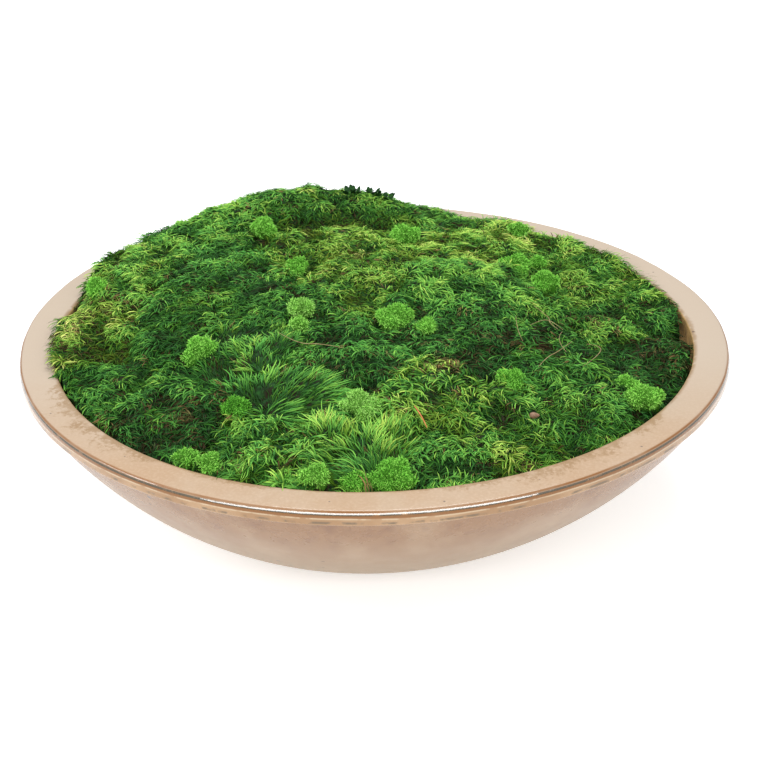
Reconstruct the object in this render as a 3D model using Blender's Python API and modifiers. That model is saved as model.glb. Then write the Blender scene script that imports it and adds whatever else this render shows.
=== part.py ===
"""A planted bowl: clumps of preserved cushion moss and tufts of reindeer moss, mounded in a wide glazed bowl.

Metres, +Z up. The origin is the middle of the foot ring, on the ground, and the viewer stands at -Y.

The bowl and the foam bed in it are turned. Every clump and tuft is a pillow set on the bed. Seen from above, a straight
seam parts each two neighbouring clumps, so each fills its own cell of the planting. A tuft stands in a hole cut in the
clumps round it. All pieces share the slight out-of-round shape that the clay took in the kiln.
"""

import math
from collections import namedtuple

import bmesh
import bpy
from mathutils import Vector, noise

# The bowl
RIM_RADIUS = 0.300
RIM_WIDTH = 0.030
BOWL_HEIGHT = 0.155
COLLAR_HEIGHT = 0.012
COLLAR_STEP = 0.003
RIM_ROUND = 0.0045
EDGE_ROUND = 0.0015
BODY_RADIUS = 0.346
BODY_CENTRE = 0.3204
WALL = 0.020
THROAT_DEPTH = 0.017
FLOOR = 0.020
FOOT_RADIUS = 0.133
FOOT_WIDTH = 0.016
FOOT_HEIGHT = 0.005
FOOT_STEP = 0.006
RECESS = 0.004
ARC_POINTS = 5
TURN_STEPS = 48

# How far from round the clay is: two-sided, then three-sided
OVAL = 0.0080
TRIANGULAR = 0.0087

# The foam bed
BED_GAP = 0.0004
BED_SHOULDER = 0.236
BED_EDGE = 0.125
BED_DOME = 0.022

# The planting
SEAM_GAP = 0.0002
WALL_GAP = 0.0012
PLANT_GAP = 0.0008
HOLE_GAP = 0.0005
HOLE_MARGIN = 0.006
CLUMP_REACH = 0.095
CLUMP_SEAM = 0.78
CLUMP_SEAM_AT_WALL = 0.84
CLUMP_FULLNESS = 3.4
CLUMP_SEGMENTS = 14
CLUMP_RINGS = 7
CLUMP_LUMP = 0.004
CLUMP_LUMP_SIZE = 0.030
BLEND_WIDTH = 0.035
TUFT_HEIGHT = 0.85
TUFT_TAPER = 0.60
TUFT_SEGMENTS = 8
TUFT_RINGS = 6
WALL_ZONE = (0.215, 0.262)
CORNER_ROUNDING = 16

Clump = namedtuple("Clump", "name x y height")
Tuft = namedtuple("Tuft", "name x y rise radius")

# Each clump's middle, and how high its crown stands over the rim
CLUMPS = (
    Clump("back_left", -0.135, 0.173, 0.028),
    Clump("back", -0.072, 0.200, 0.044),
    Clump("back_right", 0.011, 0.203, 0.041),
    Clump("back_low", 0.064, 0.206, 0.009),
    Clump("back_middle", -0.040, 0.116, 0.042),
    Clump("left_shoulder", -0.201, 0.078, 0.033),
    Clump("left_bank", -0.238, -0.028, 0.016),
    Clump("upper_left", -0.145, 0.062, 0.038),
    Clump("middle_left", -0.162, -0.032, 0.034),
    Clump("left_front", -0.213, -0.115, 0.009),
    Clump("front_left", -0.159, -0.167, 0.011),
    Clump("swept_upper", -0.101, -0.093, 0.036),
    Clump("swept_lower", -0.062, -0.158, 0.030),
    Clump("crown", -0.009, 0.049, 0.044),
    Clump("centre_left", -0.093, -0.013, 0.040),
    Clump("centre", -0.016, -0.116, 0.038),
    Clump("crown_right", 0.070, 0.028, 0.036),
    Clump("upper_right", 0.083, 0.158, 0.030),
    Clump("middle_right", 0.085, -0.066, 0.034),
    Clump("right_back", 0.202, 0.109, 0.012),
    Clump("right_middle", 0.206, 0.006, 0.013),
    Clump("swirl", 0.147, -0.080, 0.020),
    Clump("far_right", 0.236, -0.050, -0.004),
    Clump("right_front", 0.166, -0.172, 0.008),
    Clump("front_right", 0.100, -0.178, 0.016),
    Clump("front_edge_right", 0.112, -0.222, 0.000),
    Clump("front_combed", -0.001, -0.212, 0.010),
    Clump("front_combed_left", -0.090, -0.218, 0.010),
    Clump("front_centre", 0.044, -0.158, 0.028),
    Clump("front_edge", 0.058, -0.230, -0.002),
)

# Each tuft's middle, how far its top stands over the moss round it, and its radius
TUFTS = (
    Tuft("back_left", -0.098, 0.153, 0.007, 0.0130),
    Tuft("upper", -0.062, 0.053, 0.005, 0.0105),
    Tuft("crown_left", -0.057, -0.040, 0.006, 0.0140),
    Tuft("crown_low", -0.060, -0.064, 0.003, 0.0085),
    Tuft("left", -0.136, -0.090, 0.006, 0.0150),
    Tuft("heart", -0.103, -0.174, 0.006, 0.0135),
    Tuft("front_combed", -0.009, -0.180, 0.008, 0.0170),
    Tuft("back_right", 0.031, 0.133, 0.005, 0.0140),
    Tuft("front_left_a", -0.142, -0.208, 0.006, 0.0110),
    Tuft("front_left_b", -0.120, -0.219, 0.006, 0.0125),
    Tuft("front_a", -0.043, -0.241, 0.010, 0.0130),
    Tuft("front_b", -0.065, -0.248, 0.003, 0.0100),
    Tuft("front_c", 0.019, -0.240, 0.013, 0.0185),
    Tuft("front_d", -0.013, -0.250, 0.002, 0.0120),
    Tuft("right_a", 0.130, 0.084, 0.005, 0.0160),
    Tuft("right_b", 0.152, 0.050, 0.006, 0.0140),
    Tuft("right_c", 0.158, 0.108, 0.003, 0.0105),
    Tuft("back_edge", 0.144, 0.174, 0.006, 0.0100),
    Tuft("far_right_a", 0.212, -0.138, 0.007, 0.0150),
    Tuft("far_right_b", 0.203, -0.108, 0.003, 0.0110),
    Tuft("centre_a", 0.020, -0.051, 0.005, 0.0150),
    Tuft("centre_b", 0.043, -0.064, 0.003, 0.0110),
    Tuft("front_right", 0.117, -0.132, 0.004, 0.0135),
    Tuft("left_edge", -0.246, 0.040, 0.006, 0.0125),
)

# Colours, linear
GLAZE = (0.46, 0.33, 0.23)
FOAM = (0.10, 0.16, 0.07)
MOSS_DARK = Vector((0.035, 0.085, 0.012))
MOSS_LIGHT = Vector((0.150, 0.230, 0.030))
REINDEER_MOSS = (0.110, 0.330, 0.040)


def clear_scene():
    """Removes the start-up objects."""
    for old in list(bpy.data.objects):
        bpy.data.objects.remove(old)


def material(name, colour, roughness):
    """A new Principled material."""
    made = bpy.data.materials.new(name)
    made.use_nodes = True
    surface = made.node_tree.nodes["Principled BSDF"]
    surface.inputs["Base Color"].default_value = (*colour, 1.0)
    surface.inputs["Roughness"].default_value = roughness
    surface.inputs["Metallic"].default_value = 0.0
    return made


def out_of_round(point):
    """The place that a point of the round design takes in the fired bowl."""
    angle = math.atan2(point.y, point.x)
    stretch = 1 - OVAL * math.sin(2 * angle) + TRIANGULAR * math.cos(3 * angle)
    return Vector((point.x * stretch, point.y * stretch, point.z))


def add_object(name, mesh, collection, finish):
    """Puts a mesh in the collection as a smooth-shaded object with its own material."""
    for vertex in mesh.vertices:
        vertex.co = out_of_round(vertex.co)
    mesh.materials.clear()
    mesh.materials.append(finish)
    made = bpy.data.objects.new(name, mesh)
    collection.objects.link(made)
    mesh.shade_smooth()
    mesh.set_sharp_from_angle(angle=math.radians(40))
    return made


def sphere_radius(radius, height):
    """The distance from the axis to a sphere about the bowl's centre of curvature, at a height."""
    return math.sqrt(radius**2 - (BODY_CENTRE - height) ** 2)


def sphere_arc(radius, start, end, count):
    """Points (x, z) along that sphere between two heights, at even angles."""
    first = math.acos((BODY_CENTRE - start) / radius)
    last = math.acos((BODY_CENTRE - end) / radius)
    angles = [first + (last - first) * i / (count - 1) for i in range(count)]
    return [(radius * math.sin(a), BODY_CENTRE - radius * math.cos(a)) for a in angles]


def turned(name, profile, collection, finish):
    """A solid turned about the Z axis from a profile that runs down its outer side."""
    outline = bpy.data.meshes.new(name + "_profile")
    points = [(x, 0, z) for x, z in profile]
    outline.from_pydata(points, [(i, i + 1) for i in range(len(points) - 1)], [])
    lathe = bpy.data.objects.new(name + "_lathe", outline)
    collection.objects.link(lathe)
    screw = lathe.modifiers.new("Turn", "SCREW")
    screw.steps = TURN_STEPS
    screw.render_steps = TURN_STEPS
    screw.use_merge_vertices = True
    screw.merge_threshold = 0.0001
    bpy.context.view_layer.update()
    evaluated = lathe.evaluated_get(bpy.context.evaluated_depsgraph_get())
    mesh = bpy.data.meshes.new_from_object(evaluated)
    mesh.name = name
    bpy.data.objects.remove(lathe)
    return add_object(name, mesh, collection, finish)


def inner_radius():
    """The radius of the sphere that the bowl's hollow is a slice of."""
    return BODY_RADIUS - WALL


def add_bowl(collection):
    """The bowl: spherical body, upright collar with a wide flat rim, and a low foot ring."""
    throat = RIM_RADIUS - RIM_WIDTH
    collar_foot = BOWL_HEIGHT - COLLAR_HEIGHT
    neck = RIM_RADIUS - COLLAR_STEP
    profile = [(0, FLOOR)]
    profile += sphere_arc(inner_radius(), FLOOR, BOWL_HEIGHT - THROAT_DEPTH, ARC_POINTS)
    profile += [
        (throat, BOWL_HEIGHT - EDGE_ROUND),
        (throat + EDGE_ROUND, BOWL_HEIGHT),
    ]
    for turn in (0, math.pi / 6, math.pi / 3, math.pi / 2):
        over = RIM_ROUND * (1 - math.sin(turn))
        down = RIM_ROUND * (1 - math.cos(turn))
        profile.append((RIM_RADIUS - over, BOWL_HEIGHT - down))
    profile += [
        (RIM_RADIUS, collar_foot + EDGE_ROUND),
        (RIM_RADIUS - EDGE_ROUND, collar_foot),
        (neck, collar_foot),
    ]
    profile += sphere_arc(BODY_RADIUS, collar_foot - EDGE_ROUND, FOOT_HEIGHT, ARC_POINTS)
    profile += [
        (FOOT_RADIUS + FOOT_STEP / 2, FOOT_HEIGHT * 0.8),
        (FOOT_RADIUS, 0),
        (FOOT_RADIUS - FOOT_WIDTH, 0),
        (FOOT_RADIUS - FOOT_WIDTH - RECESS / 2, RECESS),
        (0, RECESS),
    ]
    turned("bowl", profile, collection, material("glaze", GLAZE, 0.25))


def bed_top(x, y):
    """The height of the foam bed's domed top."""
    inward = min(1.0, math.hypot(x, y) / BED_SHOULDER)
    return BED_EDGE + BED_DOME * (1 - inward**2)


def add_bed(collection):
    """The foam bed, cut to the bowl's hollow and domed on top."""
    heights = sphere_arc(inner_radius(), FLOOR, BOWL_HEIGHT - THROAT_DEPTH, ARC_POINTS)[:-1]
    shrink = 1 - BED_GAP / inner_radius()
    sides = [(x * shrink, BODY_CENTRE - (BODY_CENTRE - z) * shrink) for x, z in heights]
    dome = [BED_SHOULDER * i / 4 for i in range(5)]
    profile = [(x, bed_top(x, 0)) for x in dome]
    profile += sides[::-1]
    profile += [(0, sides[0][1])]
    turned("foam_bed", profile, collection, material("foam", FOAM, 0.9))


def seam_limits(site, angle):
    """How far from a site's middle its seams run, in a direction."""
    limits = []
    for other in CLUMPS + TUFTS:
        apart = math.hypot(other.x - site.x, other.y - site.y)
        if other is site or apart > 2 * CLUMP_REACH:
            continue
        heading = math.atan2(other.y - site.y, other.x - site.x)
        facing = math.cos(angle - heading)
        if facing < 0.001:
            continue
        if isinstance(site, Clump) and isinstance(other, Clump):
            limits.append(apart / 2 / facing)
        elif isinstance(site, Tuft) and isinstance(other, Tuft):
            limits.append(apart * site.radius / (site.radius + other.radius) / facing)
    return limits


def wall_limit(site, angle, height):
    """How far it is from a site's middle to the bowl's wall, in a direction, at a height."""
    throat = RIM_RADIUS - RIM_WIDTH
    hollow = sphere_radius(inner_radius(), min(height, BOWL_HEIGHT - THROAT_DEPTH))
    wall = min(throat, hollow) - WALL_GAP
    along = site.x * math.cos(angle) + site.y * math.sin(angle)
    inside = site.x**2 + site.y**2 - wall**2
    return math.sqrt(along**2 - inside) - along


def cell_reach(site, angle, height):
    """How far the site's cell reaches in a direction at a height, with its corners rounded."""
    most = site.radius if isinstance(site, Tuft) else CLUMP_REACH
    limits = [most, wall_limit(site, angle, height)] + seam_limits(site, angle)
    total = sum(limit**-CORNER_ROUNDING for limit in limits)
    return total ** (-1 / CORNER_ROUNDING) - SEAM_GAP


def mound_height(x, y):
    """The height of the planting's surface: the crowns of the clumps, blended."""
    total = 0.0
    weight = 0.0
    for clump in CLUMPS:
        away = (x - clump.x) ** 2 + (y - clump.y) ** 2
        share = math.exp(-away / (2 * BLEND_WIDTH**2))
        total += share * clump.height
        weight += share
    return BOWL_HEIGHT + total / weight


def smooth_step(low, high, value):
    """0 below low, 1 above high, and a smooth rise between."""
    t = min(1.0, max(0.0, (value - low) / (high - low)))
    return t * t * (3 - 2 * t)


def clump_point(site, direction):
    """Where the point of a unit sphere goes on a clump's pillow."""
    angle = math.atan2(direction.y, direction.x)
    around = math.hypot(direction.x, direction.y)
    spread = around ** (2 / CLUMP_FULLNESS)
    rise = abs(direction.z) ** (2 / CLUMP_FULLNESS)
    reach = cell_reach(site, angle, BOWL_HEIGHT - THROAT_DEPTH)
    x = site.x + spread * reach * math.cos(angle)
    y = site.y + spread * reach * math.sin(angle)
    floor = bed_top(x, y) + PLANT_GAP
    top = mound_height(x, y)
    near_wall = smooth_step(*WALL_ZONE, math.hypot(x, y))
    share = CLUMP_SEAM + (CLUMP_SEAM_AT_WALL - CLUMP_SEAM) * near_wall
    seam = floor + share * (top - floor)
    if direction.z < 0:
        z = seam - rise * (seam - floor)
        reach = cell_reach(site, angle, z)
        x = site.x + spread * reach * math.cos(angle)
        y = site.y + spread * reach * math.sin(angle)
        return Vector((x, y, max(z, bed_top(x, y) + PLANT_GAP)))
    z = seam + rise * (top - seam)
    z += rise * CLUMP_LUMP * noise.noise(Vector((x, y, 0)) / CLUMP_LUMP_SIZE)
    return Vector((x, y, z))


def tuft_point(site, direction):
    """Where the point of a unit sphere goes on a tuft: a ball above, and a taper to the bed below."""
    angle = math.atan2(direction.y, direction.x)
    around = math.hypot(direction.x, direction.y)
    middle = mound_height(site.x, site.y) + site.rise - TUFT_HEIGHT * site.radius
    floor = bed_top(site.x, site.y) + PLANT_GAP
    if direction.z < 0:
        z = middle + direction.z * (middle - floor)
        around *= 1 + (TUFT_TAPER - 1) * smooth_step(0, 1, -direction.z)
    else:
        z = middle + direction.z * TUFT_HEIGHT * site.radius
    reach = cell_reach(site, angle, z)
    x = site.x + around * reach * math.cos(angle)
    y = site.y + around * reach * math.sin(angle)
    return Vector((x, y, z))


def pillow_mesh(name, shape, site, segments, rings, grow=0.0):
    """A sphere whose points are set by a shape function, grown by a margin."""
    cage = bmesh.new()
    bmesh.ops.create_uvsphere(cage, u_segments=segments, v_segments=rings, radius=1)
    for vertex in cage.verts:
        outward = vertex.co.copy()
        vertex.co = shape(site, outward) + outward * grow
    mesh = bpy.data.meshes.new(name)
    cage.to_mesh(mesh)
    cage.free()
    return mesh


def add_hole(clump, tuft, cutters):
    """Cuts the room for a tuft into a clump."""
    name = clump.name + "_for_" + tuft.name
    mesh = pillow_mesh(name, tuft_point, tuft, TUFT_SEGMENTS, TUFT_RINGS, grow=HOLE_GAP)
    cutter = add_object(name, mesh, cutters, clump.data.materials[0])
    cutter.hide_render = True
    cutter.display_type = "WIRE"
    hole = clump.modifiers.new("Room for " + tuft.name, "BOOLEAN")
    hole.operation = "DIFFERENCE"
    hole.object = cutter


def meets(site, tuft):
    """Whether a tuft comes near a clump's cell."""
    apart = math.hypot(tuft.x - site.x, tuft.y - site.y)
    heading = math.atan2(tuft.y - site.y, tuft.x - site.x)
    near = cell_reach(site, heading, BOWL_HEIGHT) + HOLE_MARGIN
    return apart - tuft.radius < near


def add_clumps(collection, cutters):
    """The cushion-moss clumps, each in its own green."""
    for number, site in enumerate(CLUMPS):
        shade = 0.5 + 0.5 * math.sin(2.4 * number)
        colour = MOSS_DARK.lerp(MOSS_LIGHT, shade)
        finish = material("moss_" + site.name, colour, 0.85)
        name = "cushion_moss_" + site.name
        mesh = pillow_mesh(name, clump_point, site, CLUMP_SEGMENTS, CLUMP_RINGS)
        clump = add_object(name, mesh, collection, finish)
        for tuft in TUFTS:
            if meets(site, tuft):
                add_hole(clump, tuft, cutters)


def add_tufts(collection):
    """The reindeer-moss tufts between the clumps."""
    for site in TUFTS:
        finish = material("reindeer_" + site.name, REINDEER_MOSS, 0.9)
        name = "reindeer_moss_" + site.name
        mesh = pillow_mesh(name, tuft_point, site, TUFT_SEGMENTS, TUFT_RINGS)
        add_object(name, mesh, collection, finish)


def main():
    clear_scene()
    planted_bowl = bpy.data.collections.new("planted_bowl")
    cutters = bpy.data.collections.new("cutters")
    bpy.context.scene.collection.children.link(planted_bowl)
    bpy.context.scene.collection.children.link(cutters)
    add_bowl(planted_bowl)
    add_bed(planted_bowl)
    add_clumps(planted_bowl, cutters)
    add_tufts(planted_bowl)


main()
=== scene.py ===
"""The looks of the planted bowl: its glaze, the moss shoots, the reindeer-moss tufts and the loose bits.

Sizes are in metres. The bowl stands on the ground at the origin, +Z is up and the viewer stands at -Y. Every
piece of moss takes its place from the solid of the same name in the frame.
"""

import math
import random
from collections import namedtuple

import bmesh
import bpy
import numpy as np
from mathutils import Matrix, Vector, noise
from mathutils.bvhtree import BVHTree


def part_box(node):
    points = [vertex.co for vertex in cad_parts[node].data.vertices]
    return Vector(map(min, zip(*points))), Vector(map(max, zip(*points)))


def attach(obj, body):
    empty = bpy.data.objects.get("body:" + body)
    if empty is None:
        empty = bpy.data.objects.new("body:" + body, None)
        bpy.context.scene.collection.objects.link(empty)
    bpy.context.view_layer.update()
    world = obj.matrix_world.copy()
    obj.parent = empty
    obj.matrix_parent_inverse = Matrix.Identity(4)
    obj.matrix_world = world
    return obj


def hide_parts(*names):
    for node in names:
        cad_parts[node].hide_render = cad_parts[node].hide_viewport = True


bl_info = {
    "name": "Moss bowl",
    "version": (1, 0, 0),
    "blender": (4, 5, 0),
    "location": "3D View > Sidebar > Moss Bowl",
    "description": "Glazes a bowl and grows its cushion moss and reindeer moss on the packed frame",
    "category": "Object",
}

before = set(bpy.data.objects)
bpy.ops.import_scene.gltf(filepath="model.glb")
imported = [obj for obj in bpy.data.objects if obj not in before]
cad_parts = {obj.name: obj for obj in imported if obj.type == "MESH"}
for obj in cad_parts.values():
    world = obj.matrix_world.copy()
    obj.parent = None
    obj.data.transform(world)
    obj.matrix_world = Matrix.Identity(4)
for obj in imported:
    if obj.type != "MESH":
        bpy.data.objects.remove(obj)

BODY = "root"
CLUMP_PREFIX = "cushion_moss_"
TUFT_PREFIX = "reindeer_moss_"
PIXELS = 760

# The sphere that the bowl's outside is part of, and the height of its middle
BODY_RADIUS = 0.346
BODY_CENTRE = 0.3204

# The spherical part's ends: inside under the rim's top, and outside over the ground and under the collar
BODY_ENDS_UNDER_TOP = 0.017
BODY_STARTS_AT = 0.005
BODY_ENDS_UNDER_COLLAR = 0.0015

# Rounding of the rim's inner edge, of the collar's lower edge and of the step under it
THROAT_ROUND = 0.0028
COLLAR_ROUND = 0.0022
NECK_ROUND = 0.0008

# The rolled outer edge, arc by arc from the rim's top: its way in degrees at start and end, and its radius
EDGE_ARCS = ((90, 36, 0.0030), (36, 30, 0.0143), (30, 0, 0.0034))
EDGE_PARTS = 4

# The foot ring's profile: how far each point lies outside the ring's radius, and its height
FOOT_RING = (
    (0.0035, 0.0040),
    (0.0005, 0.0012),
    (-0.0010, 0),
    (-0.0150, 0),
    (-0.0165, 0.0012),
    (-0.0180, 0.0040),
)

# The longest step along the bowl's profile, and how much the glaze's streaks are drawn out
LONGEST_STEP = 0.009
STREAK_STRETCH = (1.0, 1.0, 0.12)

# How far from round the clay is: two-sided, then three-sided
OVAL = 0.0080
TRIANGULAR = 0.0087

# How far out, in the round design, the planting may reach at the bowl's wall
WALL_AT = 0.2675

# How one clump's shoots lie: the way their tips point in plan, degrees from +X towards +Y; their lean from
# upright, in degrees; their length against the usual; their tint, from 0 (dead brown) over greens to 1
# (golden); and how bright they are drawn, which on the combed clump in front also stands in, as painted
# light, for the brighter light that falls there. A fan is the point that the shoots spread from.
Growth = namedtuple("Growth", "heading lean length tint vigour fan", defaults=(1.0, None))

GROWTHS = {
    "back_left": Growth(165, 18, 0.95, 0.46, 1.05),
    "back": Growth(-100, 18, 0.95, 0.50, 0.90),
    "back_right": Growth(-60, 18, 0.95, 0.50),
    "back_low": Growth(60, 18, 0.95, 0.46),
    "back_middle": Growth(15, 30, 1.0, 0.62),
    "left_shoulder": Growth(200, 18, 0.95, 0.52, 1.12),
    "left_bank": Growth(250, 25, 1.05, 0.66, 0.98),
    "upper_left": Growth(205, 18, 1.0, 0.37, 1.15),
    "middle_left": Growth(-120, 18, 1.0, 0.42, 0.94),
    "left_front": Growth(-135, 18, 1.0, 0.44, 0.92),
    "front_left": Growth(-70, 30, 1.15, 0.28, 0.78),
    "swept_upper": Growth(60, 20, 0.9, 0.42, 1.20, (-0.081, -0.182)),
    "swept_lower": Growth(60, 20, 1.0, 0.50, 1.17, (-0.081, -0.182)),
    "crown": Growth(175, 30, 1.0, 0.62, 0.95),
    "centre_left": Growth(-150, 18, 1.0, 0.38, 1.00),
    "centre": Growth(-80, 18, 1.0, 0.32, 1.08),
    "crown_right": Growth(30, 18, 1.0, 0.44, 1.22),
    "upper_right": Growth(95, 18, 1.0, 0.67, 1.18),
    "middle_right": Growth(-75, 18, 0.95, 0.28, 1.08),
    "right_back": Growth(-30, 18, 1.0, 0.55, 1.03),
    "right_middle": Growth(-20, 18, 1.0, 0.46, 0.90),
    "swirl": Growth(-140, 35, 1.25, 0.38, 0.88),
    "far_right": Growth(-60, 18, 0.95, 0.26, 0.68),
    "right_front": Growth(-60, 18, 1.0, 0.42, 1.00),
    "front_right": Growth(20, 30, 1.1, 0.53, 1.15),
    "front_edge_right": Growth(-60, 30, 1.1, 0.60),
    "front_combed": Growth(90, 8, 1.0, 0.56, 1.36, (0.006, -0.272)),
    "front_combed_left": Growth(150, 25, 1.3, 0.48, 1.10),
    "front_centre": Growth(160, 30, 1.2, 0.56, 1.20),
    "front_edge": Growth(-90, 18, 1.0, 0.44),
}

# Dips and rises in the planting: x, y, radius and depth, which is negative where the moss rises; a dip also
# darkens the moss there with painted shade, and a rise brightens it with painted light
RELIEF = {
    "ridge_left": (-0.140, 0.213, 0.028, -0.009),
    "ridge_shoulder": (-0.105, 0.226, 0.022, -0.007),
    "ridge_middle": (-0.075, 0.228, 0.020, -0.005),
    "ridge_notch": (-0.035, 0.232, 0.014, 0.003),
    "ridge_right": (0.008, 0.238, 0.022, -0.004),
    "ridge_end": (0.112, 0.207, 0.018, -0.005),
    "valley_left": (-0.078, 0.176, 0.022, 0.012),
    "valley_middle": (-0.040, 0.171, 0.020, 0.015),
    "valley_right": (0.004, 0.178, 0.019, 0.014),
    "valley_end": (0.040, 0.178, 0.015, 0.009),
    "valley_back": (-0.020, 0.196, 0.016, 0.006),
    "crown_back": (-0.012, 0.143, 0.016, -0.004),
    "back_left": (-0.171, 0.170, 0.020, -0.006),
    "crown_left": (-0.080, 0.090, 0.014, 0.008),
    "crown_middle": (-0.040, 0.070, 0.012, 0.006),
    "crown_right": (0.048, 0.052, 0.014, -0.005),
    "crown_front": (0.037, 0.011, 0.013, -0.009),
    "upper_right": (0.106, 0.104, 0.013, 0.009),
    "upper_right_back": (0.113, 0.130, 0.010, 0.008),
    "upper_left": (-0.127, -0.008, 0.012, 0.006),
    "heart_low": (-0.081, -0.072, 0.011, 0.007),
    "heart_left": (-0.108, 0.025, 0.010, 0.008),
    "heart_right": (0.076, 0.013, 0.009, 0.009),
    "heart_front": (0.022, -0.013, 0.013, -0.005),
    "left_back": (-0.230, 0.038, 0.016, -0.005),
    "left_slope": (-0.160, -0.036, 0.013, 0.009),
    "left_middle": (-0.168, -0.076, 0.013, 0.007),
    "left_heart": (-0.139, -0.060, 0.011, 0.006),
    "left_foot": (-0.179, -0.190, 0.014, 0.007),
    "left_foot_wall": (-0.207, -0.168, 0.014, 0.007),
    "left_edge": (-0.214, -0.046, 0.018, 0.009),
    "left_hollow": (-0.205, -0.068, 0.013, 0.007),
    "left_wall": (-0.247, -0.100, 0.013, 0.005),
    "front_left_bare": (-0.144, -0.198, 0.013, 0.008),
    "front_left_gap": (-0.122, -0.205, 0.011, 0.008),
    "swept_hollow": (-0.105, -0.108, 0.011, 0.007),
    "swept_left": (-0.088, -0.112, 0.017, -0.006),
    "swept_back": (-0.070, -0.092, 0.014, -0.005),
    "swept_right": (-0.006, -0.143, 0.013, 0.009),
    "swept_foot": (-0.104, -0.191, 0.012, 0.008),
    "combed_left": (-0.038, -0.203, 0.016, -0.008),
    "combed_right": (-0.008, -0.207, 0.015, -0.005),
    "combed_foot": (-0.019, -0.255, 0.009, 0.009),
    "combed_hollow": (-0.052, -0.190, 0.010, 0.008),
    "edge_left": (-0.028, -0.259, 0.011, 0.010),
    "edge_middle": (0.014, -0.258, 0.010, 0.010),
    "edge_right": (0.030, -0.246, 0.011, 0.007),
    "right_dip": (0.092, -0.097, 0.013, 0.009),
    "centre_dip": (0.006, -0.002, 0.011, 0.007),
    "centre_low": (0.008, -0.046, 0.012, 0.010),
    "front_dip": (0.084, -0.175, 0.011, 0.006),
    "right_foot": (0.143, -0.191, 0.012, 0.006),
    "right_front": (0.169, -0.133, 0.014, -0.007),
    "needle": (0.020, -0.172, 0.012, -0.006),
    "far_right_dip": (0.200, -0.152, 0.013, 0.006),
    "swirl_rim": (0.116, -0.076, 0.012, 0.008),
    "swirl": (0.150, -0.062, 0.010, 0.006),
    "right_rise": (0.099, -0.013, 0.014, -0.005),
    "right_back_rise": (0.126, 0.032, 0.014, -0.005),
    "front_right_dip": (0.086, -0.162, 0.013, 0.008),
    "front_right_gap": (0.110, -0.185, 0.013, 0.008),
    "front_right_bare": (0.101, -0.244, 0.014, 0.015),
    "right_front_gap": (0.148, -0.192, 0.012, 0.008),
    "wall_gap": (0.268, -0.009, 0.012, 0.024),
}

# Where the planting lies lower, or higher, and is as bright as round it: x, y, radius and depth
LEVELS = {
    "left_wall": (-0.263, 0.034, 0.018, 0.013),
    "left_wall_middle": (-0.258, 0.058, 0.018, 0.017),
    "left_wall_back": (-0.250, 0.084, 0.018, 0.011),
    "right_wall_back": (0.192, 0.172, 0.022, -0.002),
    "right_wall_upper": (0.217, 0.135, 0.024, -0.004),
    "right_wall_middle": (0.240, 0.090, 0.020, 0.003),
    "right_wall_front": (0.262, -0.050, 0.020, -0.006),
    "ridge_end": (0.034, 0.236, 0.016, -0.003),
}

# Where much of the moss is dead and brown: x, y, radius and share
BROWN = (
    (-0.009, 0.079, 0.016, 0.35),
    (0.059, -0.114, 0.016, 0.60),
    (0.087, 0.202, 0.014, 0.40),
    (-0.230, 0.015, 0.026, 0.35),
    (-0.252, -0.036, 0.020, 0.35),
    (-0.205, -0.168, 0.020, 0.35),
    (0.142, -0.067, 0.014, 0.50),
    (-0.150, -0.165, 0.018, 0.45),
    (0.187, -0.005, 0.016, 0.30),
    (0.255, -0.060, 0.026, 0.25),
    (0.110, -0.238, 0.016, 0.50),
    (-0.120, -0.150, 0.014, 0.35),
)

# How much painted shade darkens the moss for each metre of dip, from its full painted light of 1
DIP_PAINTED_SHADE = 75.0

# Feathery brown stains on the rim: the way that each lies from the middle, its half-width, both in degrees,
# and its reach over the rim
STAINS = (
    (-156, 4, 0.008),
    (-150, 4, 0.012),
    (-143, 4, 0.015),
    (-136, 5, 0.011),
    (-129, 4, 0.008),
    (-112, 9, 0.004),
    (-75, 6, 0.006),
    (-63, 8, 0.012),
    (-52, 6, 0.011),
    (-41, 6, 0.007),
)

# Lines of glaze round the collar: whether they wander, their top and foot under the rim's top, how soft
# they are, between which values of the mottle they show, their strength and colour
COLLAR_LINES = (
    (True, 0.0054, 0.0064, 0.0004, (0.36, 0.50), 0.80, (0.500, 0.385, 0.250)),
    (True, 0.0082, 0.0100, 0.0006, (0.46, 0.60), 0.75, (0.100, 0.075, 0.045)),
    (False, 0.0112, 0.0124, 0.0004, (0.42, 0.60), 0.60, (0.130, 0.095, 0.055)),
    (False, 0.0017, 0.0031, 0.0003, (0.30, 0.46), 0.92, (0.040, 0.034, 0.014)),
)

# How far under the rim's top the collar's glaze ends
COLLAR_DEPTH = 0.0122

# Specks on the rim, in the round design: x, y and radius
SPECKS = (
    (0.050, -0.287, 0.0011),
    (-0.031, -0.284, 0.0009),
    (0.200, -0.212, 0.0012),
    (0.262, 0.115, 0.0011),
    (-0.252, -0.146, 0.0010),
    (-0.184, -0.215, 0.0008),
    (0.120, -0.259, 0.0007),
)

# A tuft's tint, from 0 (deep green) to 1 (pale), its size against its solid's, and how far it stands from
# the solid
Tuft = namedtuple("Tuft", "tint size shift", defaults=(0.55, 1.0, (0.0, 0.0, 0.0)))

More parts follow.
